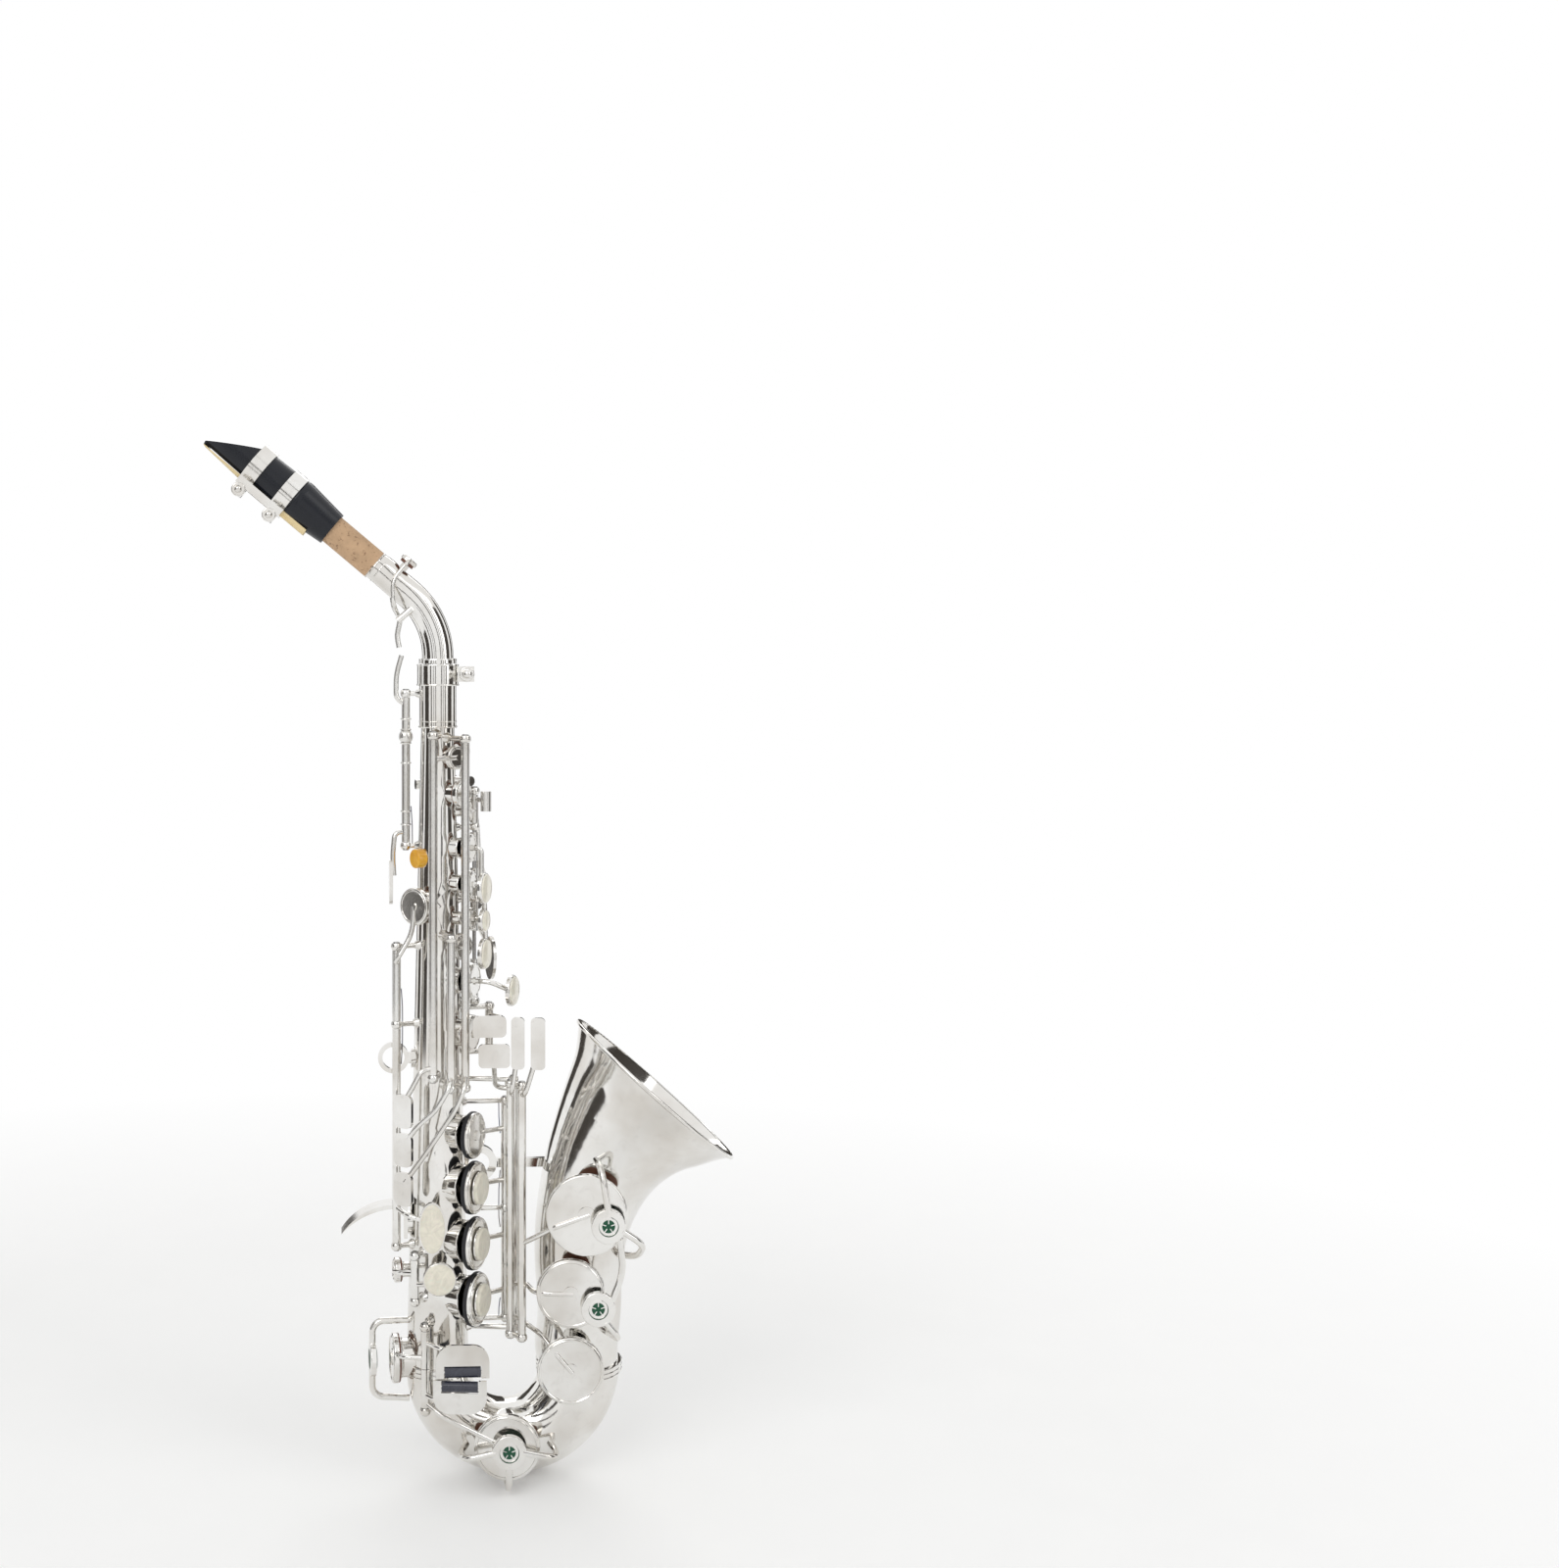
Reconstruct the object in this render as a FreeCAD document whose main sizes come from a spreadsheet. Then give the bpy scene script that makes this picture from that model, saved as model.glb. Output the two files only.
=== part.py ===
"""Curved soprano saxophone in millimetres.

Building frame: the body tube's axis is +Z with the bow's lowest point at z = 0, +X points from the body tube to
the bell, and -Y is the side of the right-hand side keys. Directions round the body are angles from -Y towards +X.
The finished sub-parts are moved at the end so that the strap ring's hole is the origin.
"""
import FreeCAD, Part
import os
from math import atan2, cos, degrees, exp, hypot, radians, sin, tan

os.makedirs("parts", exist_ok=True)
document = FreeCAD.newDocument("curved_soprano_saxophone")
V = FreeCAD.Vector

# ---------------------------------------------------------------- driving dimensions

SIZES = {
    # horn tube
    "wall": 0.8,
    "leg_spacing": 64.5,
    "bow_top_height": 48,
    "body_low_radius": 14.2,
    "body_top_height": 346,
    "body_top_radius": 7.4,
    "bell_throat_radius": 18.5,
    "bell_straight": 45,
    "bell_bend_radius": 106,
    "bell_bend_angle": 41,
    "bell_end_straight": 14,
    "bell_lip_radius": 46,
    "bell_flare_length": 35,
    "lip_bead_radius": 0.9,
    "bow_ring_width": 4.4,
    "bow_ring_thickness": 0.9,
    # neck joint and neck
    "receiver_top_height": 367,
    "receiver_radius": 8.4,
    "collar_radius": 9.4,
    "collar_height": 9,
    "tenon_radius": 6.5,
    "running_gap": 0.05,
    "end_gap": 0.3,
    "neck_rise": 3,
    "neck_bend_radius": 38,
    "neck_bend_angle": 50,
    "neck_straight": 20,
    "neck_start_radius": 7.2,
    "neck_end_radius": 6.6,
    "cork_tube_radius": 5.5,
    "cork_radius": 6.85,
    "cork_shown": 25,
    "cork_hidden": 12,
    # mouthpiece, reed and ligature
    "mouthpiece_length": 69,
    "mouthpiece_radius": 9.7,
    "shank_radius": 8.1,
    "table_drop": 8.0,
    "beak_length": 26,
    "tip_thickness": 1.6,
    "chamber_radius": 5,
    "window_width": 9,
    "reed_width": 11.4,
    "reed_length": 60,
    "reed_thickness": 2.6,
    "reed_tip_setback": 0.5,
    "band_width": 7,
    "band_thickness": 0.8,
    "band_spacing": 18,
    "front_band_from_tip": 22,
    "ligature_screw_radius": 1.1,
    # keywork
    "rod_radius": 0.9,
    "hinge_radius": 1.9,
    "post_ball_radius": 2.5,
    "post_stem_radius": 1.2,
    "post_foot_radius": 3,
    "arm_radius": 1.15,
    "chimney_height": 3.2,
    "chimney_inset": 2.2,
    "bell_chimney_inset": 4.4,
    "chimney_wall": 0.8,
    "pad_gap": 0.3,
    "pad_proud": 0.9,
    "cup_thickness": 2.6,
    "cup_edge_round": 0.8,
    "pearl_thickness": 2,
    "touch_thickness": 1.6,
    "stack_opening": 7,
    "bell_key_opening": 6,
    "closed_key_opening": 9,
    "roller_radius": 2.4,
    "roller_pin_radius": 0.7,
    # fittings
    "strap_ring_hole_radius": 5,
    "strap_ring_wall": 2,
    "strap_ring_width": 2.4,
    "brace_ring_radius": 8.2,
    "brace_hole_radius": 4.8,
    "hook_width": 11,
    "hook_thickness": 1.6,
    "boss_radius": 7.6,
    "felt_radius": 4.4,
    # key cup radii
    "f_sharp_cup": 10.2,
    "f_cup": 11.5,
    "e_cup": 11.5,
    "d_cup": 11.7,
    "b_cup": 6.6,
    "bis_cup": 5.2,
    "a_cup": 6.4,
    "g_cup": 8.2,
    "g_sharp_cup": 8.4,
    "e_flat_cup": 11,
    "low_c_cup": 14.6,
    "c_sharp_cup": 15,
    "low_b_cup": 15.2,
    "low_b_flat_cup": 18,
    "side_e_cup": 5.4,
    "side_c_cup": 6,
    "side_b_flat_cup": 6.2,
    "high_f_sharp_cup": 8.4,
    "trill_cup": 5.6,
    "palm_d_cup": 5.4,
    "palm_e_flat_cup": 5.4,
    "palm_f_cup": 5,
    "front_f_cup": 4.6,
}

sheet = document.addObject("Spreadsheet::Sheet", "sizes")
for row, (alias, value) in enumerate(SIZES.items(), start=1):
    sheet.set(f"A{row}", alias)
    sheet.set(f"B{row}", str(value))
    sheet.setAlias(f"B{row}", alias)
document.recompute()


def size(alias):
    """A driving dimension, read from the sheet."""
    return float(sheet.get(alias))


# ---------------------------------------------------------------- features bound to the sheet

def fit(feature, **sizes):
    """Give a feature its sizes: an alias or formula is bound to the sheet, a number is set."""
    for name, value in sizes.items():
        if isinstance(value, str):
            words = value.replace("(", "( ").replace(")", " )").split()
            bound = " ".join(f"sizes.{word}" if word in SIZES else word for word in words)
            feature.setExpression(name, bound)
        else:
            setattr(feature, name, value)
    return feature


def facing(direction):
    """The turn that points a feature's own Z along a direction."""
    return FreeCAD.Rotation(V(0, 0, 1), direction)


def axes_turn(up, normal):
    """The turn that lays a feature's Y along up and its Z along the normal."""
    side = up.cross(normal)
    return FreeCAD.Rotation(side, up, normal, "ZYX")


def put(feature, start, turn=None):
    feature.Placement = FreeCAD.Placement(start, turn or FreeCAD.Rotation())
    return feature


def cylinder(name, start, direction, radius, length):
    part = put(document.addObject("Part::Cylinder", name), start, facing(direction))
    return fit(part, Radius=radius, Height=length)


def cone(name, start, direction, low_radius, high_radius, length):
    part = put(document.addObject("Part::Cone", name), start, facing(direction))
    return fit(part, Radius1=low_radius, Radius2=high_radius, Height=length)


def sphere(name, centre, radius):
    return fit(put(document.addObject("Part::Sphere", name), centre), Radius=radius)


def torus(name, centre, axis, ring_radius, bead_radius):
    part = put(document.addObject("Part::Torus", name), centre, facing(axis))
    return fit(part, Radius1=ring_radius, Radius2=bead_radius)


def block(name, corner, turn, length, width, height):
    part = put(document.addObject("Part::Box", name), corner, turn)
    return fit(part, Length=length, Width=width, Height=height)


def plate(name, centre, up, normal, width, tall, thickness):
    """A flat block centred on a point, its height along up and its thickness along the normal."""
    turn = axes_turn(up, normal)
    corner = centre - turn.multVec(V(width / 2, tall / 2, 0))
    return block(name, corner, turn, width, tall, thickness)


def rounded(part, radius, keep):
    """Round the edges of a feature that keep() picks."""
    document.recompute()
    edges = part.Shape.Edges
    feature = document.addObject("Part::Fillet", part.Name + "_round")
    feature.Base = part
    feature.Edges = [(n, radius, radius) for n, edge in enumerate(edges, start=1) if keep(edge)]
    return feature


def corners_of(normal):
    """Picks the edges that run along a plate's normal."""
    def keep(edge):
        if len(edge.Vertexes) < 2:
            return False
        run = edge.Vertexes[1].Point - edge.Vertexes[0].Point
        return run.Length > 0 and abs(run.normalize().dot(normal)) > 0.99
    return keep


def outer_rim(start, direction, height):
    """Picks the circular edge at a height above the start of a disc."""
    def keep(edge):
        centre = getattr(edge.Curve, "Center", None)
        return centre is not None and abs((centre - start).dot(direction) - height) < 0.01
    return keep


def disc(name, start, direction, radius, thickness, edge_round):
    """A disc with its outer edge rounded."""
    part = cylinder(name, start, direction, radius, thickness)
    document.recompute()
    return rounded(part, edge_round, outer_rim(start, direction, part.Height.Value))


def oval(name, centre, up, normal, half_width, half_height, thickness):
    """An oval plate whose long half is along up."""
    ellipse = document.addObject("Part::Ellipse", name + "_edge")
    side = normal.cross(up)
    put(ellipse, centre, FreeCAD.Rotation(up, side * -1, normal, "ZXY"))
    fit(ellipse, MajorRadius=half_height, MinorRadius=half_width)
    part = document.addObject("Part::Extrusion", name)
    part.Base = ellipse
    part.DirMode = "Custom"
    part.Dir = normal
    part.Solid = True
    return fit(part, LengthFwd=thickness)


def rounded_line(points, share=0.42):
    """A wire of straight runs joined by tangent arcs."""
    edges = []
    at = points[0]
    for before, corner, after in zip(points, points[1:], points[2:]):
        run_in = (corner - before).normalize()
        run_out = (after - corner).normalize()
        turn = run_in.getAngle(run_out)
        cut = share * min((corner - before).Length, (after - corner).Length)
        bisector = (run_out - run_in).normalize()
        radius = cut / tan(turn / 2)
        start = corner - run_in * cut
        middle = corner + bisector * (radius / cos(turn / 2) - radius)
        end = corner + run_out * cut
        edges.append(Part.LineSegment(at, start).toShape())
        edges.append(Part.Arc(start, middle, end).toShape())
        at = end
    edges.append(Part.LineSegment(at, points[-1]).toShape())
    return Part.Wire(edges)


def bar(name, points, radius="arm_radius"):
    """A round bar along a line of straight runs and tangent arcs."""
    if len(points) == 2:
        run = points[1] - points[0]
        return cylinder(name, points[0], run, radius, run.Length)
    line = document.addObject("Part::Feature", name + "_line")
    line.Shape = rounded_line(points)
    section = document.addObject("Part::Circle", name + "_section")
    put(section, points[0], facing(points[1] - points[0]))
    fit(section, Radius=radius)
    part = document.addObject("Part::Sweep", name)
    part.Sections = [section]
    part.Spine = (line, [])
    part.Solid = True
    part.Frenet = False
    return part


def loft(name, sections):
    """A solid through circles, each given as centre, direction and radius."""
    circles = []
    for n, (centre, direction, radius) in enumerate(sections):
        circle = document.addObject("Part::Circle", f"{name}_ring_{n}")
        put(circle, centre, facing(direction))
        fit(circle, Radius=radius)
        circles.append(circle)
    part = document.addObject("Part::Loft", name)
    part.Sections = circles
    part.Solid = True
    part.Ruled = False
    return part


def fuse(name, members):
    if len(members) == 1:
        return members[0]
    part = document.addObject("Part::MultiFuse", name)
    part.Shapes = members
    return part


def group(name, members):
    """Separate solids kept together in one feature."""
    part = document.addObject("Part::Compound", name)
    part.Links = members
    return part


def cut(name, base, tools):
    part = document.addObject("Part::Cut", name)
    part.Base = base
    part.Tool = fuse(name + "_tools", tools)
    return part


SUB_PARTS = []


def sub_part(label, feature):
    """Name a finished sub-part: its label is its file's name."""
    feature.Label = label
    SUB_PARTS.append(feature)
    return feature


# ---------------------------------------------------------------- places

STRAP_HOLE = V(-20.2, 0, 188)
UP = V(0, 0, 1)
FRONT = V(0, -1, 0)
TO_BELL = V(1, 0, 0)
ORIGIN = V(0, 0, 0)


def outward(angle):
    """The level direction at an angle from -Y towards +X."""
    return V(sin(radians(angle)), -cos(radians(angle)), 0)


def body_radius(height):
    """The body cone's outside radius at a height."""
    slope = (size("body_low_radius") - size("body_top_radius")) / (size("body_top_height") - size("bow_top_height"))
    return size("body_low_radius") - slope * (height - size("bow_top_height"))


def horn_radius(height):
    """Outside radius of what a post stands on: the body, or the receiver above it."""
    return size("receiver_radius") if height > size("body_top_height") - 8 else body_radius(height)


def bell_path(along):
    """Centre, direction and outside radius of the bell at a distance along it."""
    straight = size("bell_straight")
    bend = size("bell_bend_radius")
    turn = radians(size("bell_bend_angle"))
    start = V(size("leg_spacing"), 0, size("bow_top_height"))
    if along <= straight:
        centre, angle = start + UP * along, 0
    else:
        angle = min((along - straight) / bend, turn)
        centre = start + V(bend * (1 - cos(angle)), 0, straight + bend * sin(angle))
        over = max(0, along - straight - bend * turn)
        centre = centre + V(sin(angle), 0, cos(angle)) * over
    direction = V(sin(angle), 0, cos(angle))
    growth = exp((along - BELL_LENGTH) / size("bell_flare_length"))
    least = exp(-BELL_LENGTH / size("bell_flare_length"))
    share = (growth - least) / (1 - least)
    radius = size("bell_throat_radius") + (size("bell_lip_radius") - size("bell_throat_radius")) * share
    return centre, direction, radius


BELL_LENGTH = (size("bell_straight") + size("bell_bend_radius") * radians(size("bell_bend_angle"))
               + size("bell_end_straight"))


def bow_path(share):
    """Centre, direction and outside radius of the bow, from the body at 0 to the bell at 1."""
    angle = 180 * share
    half = size("leg_spacing") / 2
    centre = V(half - half * cos(radians(angle)), 0, size("bow_top_height") - half * sin(radians(angle)))
    direction = V(sin(radians(angle)), 0, -cos(radians(angle)))
    radius = size("body_low_radius") + (size("bell_throat_radius") - size("body_low_radius")) * share
    return centre, direction, radius


def bell_surface_reach(height):
    """How far the bell's outside lies from its centre line at a height on its straight part or bend."""
    along = height - size("bow_top_height")
    return bell_path(max(0, along))[2]


def neck_path(along):
    """Centre, direction and outside radius of the neck at a distance above the receiver."""
    rise = size("neck_rise")
    bend = size("neck_bend_radius")
    turn = radians(size("neck_bend_angle"))
    start = V(0, 0, size("receiver_top_height") + size("end_gap"))
    angle = min(max(0, (along - rise) / bend), turn)
    centre = start + V(-bend * (1 - cos(angle)), 0, min(along, rise) + bend * sin(angle))
    over = max(0, along - rise - bend * turn)
    centre = centre + V(-sin(angle), 0, cos(angle)) * over
    share = along / NECK_LENGTH
    radius = size("neck_start_radius") + (size("neck_end_radius") - size("neck_start_radius")) * share
    return centre, V(-sin(angle), 0, cos(angle)), radius


NECK_LENGTH = size("neck_rise") + size("neck_bend_radius") * radians(size("neck_bend_angle")) + size("neck_straight")
NECK_END, NECK_AXIS, _ = neck_path(NECK_LENGTH)
NECK_UP = V(NECK_AXIS.z, 0, -NECK_AXIS.x)
NECK_PLACE = FreeCAD.Placement(NECK_END, FreeCAD.Rotation(NECK_UP, V(0, 1, 0), NECK_AXIS, "ZXY"))

# Upright hinge rods: the point each one stands on.
RODS = {
    "low_stack": V(31, 2, 0),
    "low_b": V(32, -14, 0),
    "low_b_flat": V(36.7, -19, 0),
    "c_sharp": V(34, -5.5, 0),
    "foot": V(-6.5, -19.5, 0),
    "trill": V(-11, -17, 0),
    "high_f_sharp": V(-19, -8, 0),
    "side_e": V(-3, -19, 0),
    "side_c": V(5, -20, 0),
    "side_b_flat": V(11.5, -18, 0),
    "upper_stack": V(17, 5, 0),
    "g_sharp": V(24, 8, 0),
    "octave": V(-14.5, 1, 0),
}


def rod_point(rod, height):
    return RODS[rod] + UP * height


# ---------------------------------------------------------------- keys

class Seat:
    """Where a key's cup sits: the centre of its tone hole's rim, the way it faces and its radius."""

    def __init__(self, name, centre, normal, root):
        self.name = name
        self.centre = centre
        self.normal = normal
        self.root = root
        self.radius = size(name + "_cup")

    def above(self, distance):
        return self.centre + self.normal * distance


def body_seat(name, angle, height):
    normal = outward(angle)
    half = size(name + "_cup") - size("chimney_inset")
    depth = (body_radius(height) ** 2 - half ** 2) ** 0.5 - 1
    root = normal * depth + UP * height
    rim = normal * (body_radius(height) + size("chimney_height")) + UP * height
    return Seat(name, rim, normal, root)


def side_seat(name, x, height, reach):
    """A seat on the -Y side of the bow or bell, with its rim a chimney's height clear of the tube."""
    root = V(x, -3, height)
    rim = V(x, -reach - size("chimney_height"), height)
    return Seat(name, rim, FRONT, root)


BOW_REACH = bow_path(0.5)[2]
SEATS = {
    seat.name: seat for seat in (
        body_seat("f_sharp", 55, 155),
        body_seat("f", 55, 131.5),
        body_seat("e", 55, 106.5),
        body_seat("d", 55, 81.5),
        body_seat("b", 60, 284),
        body_seat("a", 60, 267.5),
        body_seat("bis", 60, 252),
        body_seat("g", 60, 224),
        body_seat("g_sharp", 64, 200),
        body_seat("e_flat", -85, 52),
        body_seat("side_e", 35, 325),
        body_seat("side_c", 42, 240),
        body_seat("side_b_flat", 50, 308.5),
        body_seat("high_f_sharp", -45, 258),
        body_seat("trill", -84, 92),
        body_seat("palm_d", 125, 327),
        body_seat("palm_e_flat", 148, 303),
        body_seat("palm_f", 190, 322),
        body_seat("front_f", 88, 300),
        side_seat("low_c", 30, 20, BOW_REACH),
        side_seat("c_sharp", 58, 53, bell_surface_reach(53)),
        side_seat("low_b", 59, 88.5, bell_surface_reach(88.5)),
        side_seat("low_b_flat", 65.5, 124, bell_surface_reach(124)),
    )
}
BODY_SEATS = ("f_sharp", "f", "e", "d", "b", "a", "bis", "g", "g_sharp", "e_flat", "side_e", "side_c",
              "side_b_flat", "high_f_sharp", "trill", "palm_d", "palm_e_flat", "palm_f", "front_f")
CUP_TOP = size("pad_gap") + size("pad_proud") + size("cup_thickness")


def chimneys(names):
    """The outside and the bore of each tone hole."""
    outsides = []
    bores = []
    for name in names:
        seat = SEATS[name]
        run = seat.centre - seat.root
        inset = "chimney_inset" if name in BODY_SEATS else "bell_chimney_inset"
        outside = f"{name}_cup - {inset}"
        bore = f"{name}_cup - {inset} - chimney_wall"
        outsides.append(cylinder(f"{name}_chimney", seat.root, run, outside, run.Length))
        bores.append(cylinder(f"{name}_bore", seat.root - run.normalize() * 4, run, bore, run.Length + 30))
    return outsides, bores


def cup(name, with_pad=True):
    """A key cup with a rounded edge and a raised centre, and its pad unless the pad is a piece of its own."""
    seat = SEATS[name]
    pan_start = seat.above(size("pad_gap") + size("pad_proud"))
    pan = disc(f"{name}_pan", pan_start, seat.normal, f"{name}_cup", "cup_thickness", size("cup_edge_round"))
    hub = cylinder(f"{name}_hub", seat.above(CUP_TOP - 0.5), seat.normal, f"{name}_cup * 0.22", 1.1)
    parts = [pan, hub]
    if with_pad:
        parts.append(cylinder(f"{name}_pad_face", seat.above(size("pad_gap")), seat.normal,
                              f"{name}_cup - 0.6", "pad_proud + 0.5"))
    return parts


def hinge_tube(name, rod, low, high):
    return cylinder(f"{name}_hinge", rod_point(rod, low), UP, "hinge_radius", high - low)


def opened(feature, rod, angle):
    """Stand an upright-hinged piece open by an angle about its rod."""
    swing = FreeCAD.Placement(ORIGIN, FreeCAD.Rotation(UP, angle), RODS[rod])
    feature.Placement = swing.multiply(feature.Placement)
    return feature


def upright_key(name, rod, low, high, members, opening=0):
    """Join a key's pieces to its hinge tube, bore the tube and stand the key at its rest angle."""
    solid = fuse(f"{name}_joined", [hinge_tube(name, rod, low, high)] + members)
    bore = cylinder(f"{name}_hinge_bore", rod_point(rod, low - 1), UP, "rod_radius + running_gap", high - low + 2)
    key = cut(f"{name}_key", solid, [bore])
    return sub_part(f"{name}_key", opened(key, rod, opening))


def pearl(name, centre, normal, radius):
    """A domed pearl touch."""
    return disc(f"{name}_pearl_touch", centre, normal, radius, "pearl_thickness", 0.9)


STACK_OPEN = size("stack_opening")
BELL_OPEN = size("bell_key_opening")


def low_stack():
    """The four right-hand keys on the rod beside the body."""
    spans = {"d": (70.2, 93), "e": (93.3, 116.9), "f": (120.5, 143), "f_sharp": (143.3, 165.8)}
    for name, (low, high) in spans.items():
        seat = SEATS[name]
        hinge = rod_point("low_stack", seat.centre.z)
        edge = seat.above(CUP_TOP - 1) + V(cos(radians(55)), sin(radians(55)), 0) * (seat.radius - 2)
        arm = bar(f"{name}_arm", [hinge, edge, seat.above(CUP_TOP - 0.9)])
        solid = fuse(f"{name}_joined", [hinge_tube(name, "low_stack", low, high)] + cup(name, False) + [arm])
        tools = [cylinder(f"{name}_hinge_bore", rod_point("low_stack", low - 1), UP,
                          "rod_radius + running_gap", high - low + 2),
                 cylinder(f"{name}_pad_pocket", seat.above(size("pad_gap")), seat.normal,
                          f"{name}_cup - 0.9", "pad_proud + 1.2")]
        sub_part(f"{name}_key", opened(cut(f"{name}_key", solid, tools), "low_stack", STACK_OPEN))
        pad = cylinder(f"{name}_pad", seat.above(size("pad_gap")), seat.normal, f"{name}_cup - 0.9",
                       "pad_proud + 1.2")
        sub_part(f"{name}_pad", opened(pad, "low_stack", STACK_OPEN))
        if name == "f_sharp":
            continue
        touch = disc(f"{name}_pearl_disc", seat.above(CUP_TOP + 0.6), seat.normal, 7.2, "pearl_thickness", 0.9)
        sub_part(f"{name}_pearl", opened(touch, "low_stack", STACK_OPEN))


def upper_stack():
    """The left-hand B, A, bis and G keys, with their pearls set out on stems."""
    tangent = V(cos(radians(60)), sin(radians(60)), 0)
    spans = {"b": (277, 290), "a": (261.3, 273.7), "bis": (245, 258), "g": (214.5, 232)}
    for name, (low, high) in spans.items():
        seat = SEATS[name]
        hinge = rod_point("upper_stack", seat.centre.z)
        edge = seat.above(CUP_TOP - 0.4) + tangent * (seat.radius - 1.5)
        members = cup(name) + [bar(f"{name}_arm", [hinge, edge, seat.above(CUP_TOP - 0.4)])]
        top = seat.above(CUP_TOP + 3.2)
        if name == "b":
            top = seat.above(CUP_TOP + 4.3)
            place = V(top.x, top.y, 266)
            members.append(bar("b_pearl_arm", [seat.above(CUP_TOP - 1), top, place + UP * 2]))
            members.append(pearl(name, place + seat.normal * 0.4, seat.normal, 7.0))
        if name == "a":
            place = V(top.x, top.y, 236.5) + seat.normal * 1.2
            members.append(bar("a_pearl_arm", [seat.above(CUP_TOP - 1) + tangent * 4, top - seat.normal * 1.2
                                               + tangent * 9, place - UP * 1 + tangent * 5]))
            members.append(pearl(name, place, seat.normal, 7.0))
        if name == "bis":
            members.append(cylinder("bis_stem", seat.above(CUP_TOP - 1), seat.normal, 1.6, 5))
            members.append(pearl(name, seat.above(CUP_TOP + 3.8) - UP * 0.6, seat.normal, 5.2))
        if name == "g":
            place = V(30, -13, 220)
            members.append(bar("g_pearl_arm", [seat.above(CUP_TOP - 0.5), top + seat.normal * 4, place]))
            members.append(pearl(name, place, seat.normal, 7.0))
        upright_key(name, "upper_stack", low, high, members, STACK_OPEN)


def bell_keys():
    """Low B flat, low B and C sharp, with their little-finger plates above the top bracket."""
    plate_height = 199
    plates = {
        "low_b_flat": (V(44, -26, plate_height), 6.4, 23),
        "low_b": (V(35.6, -25, plate_height), 6, 23),
        "c_sharp": (V(24, -23, 193), 14, 10.5),
    }
    arms = {
        "low_b_flat": ("low_b_flat", 108, [V(52, -30, 119)]),
        "low_b": ("low_b", 88.5, [V(39, -12.5, 88.5), V(42.5, -24, 88.5)]),
        "c_sharp": ("c_sharp", 72, [V(46, -19, 67)]),
    }
    spans = {"low_b_flat": (68, 177), "low_b": (68, 177), "c_sharp": (68, 177)}
    openings = {"low_b_flat": BELL_OPEN, "low_b": BELL_OPEN, "c_sharp": 0}
    for name, (rod, start, route) in arms.items():
        seat = SEATS[name]
        centre, width, tall = plates[name]
        land = seat.above(CUP_TOP - 0.2)
        turn_in = (V(route[-1].x, 0, route[-1].z) - V(land.x, 0, land.z)).normalize() * (seat.radius * 0.7)
        points = [rod_point(rod, start)] + route + [land + turn_in, land - turn_in * 0.1]
        stalk_low = rod_point(rod, 174.5)
        stalk_out = V(stalk_low.x + 0.2 * (centre.x - stalk_low.x), centre.y + 0.9, 176)
        if name == "c_sharp":
            stalk_out = V(25.5, -9, 176)
        stalk = bar(f"{name}_stalk", [stalk_low, stalk_out, V(centre.x, centre.y + 0.9, centre.z - 4),
                                      V(centre.x, centre.y + 0.9, centre.z + 2)])
        touch = plate(f"{name}_plate", centre, UP, FRONT, width, tall, size("touch_thickness"))
        touch = rounded(touch, 2, corners_of(FRONT))
        members = cup(name) + [bar(f"{name}_arm", points), stalk, touch]
        upright_key(name, rod, *spans[name], members, -openings[name])


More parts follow.
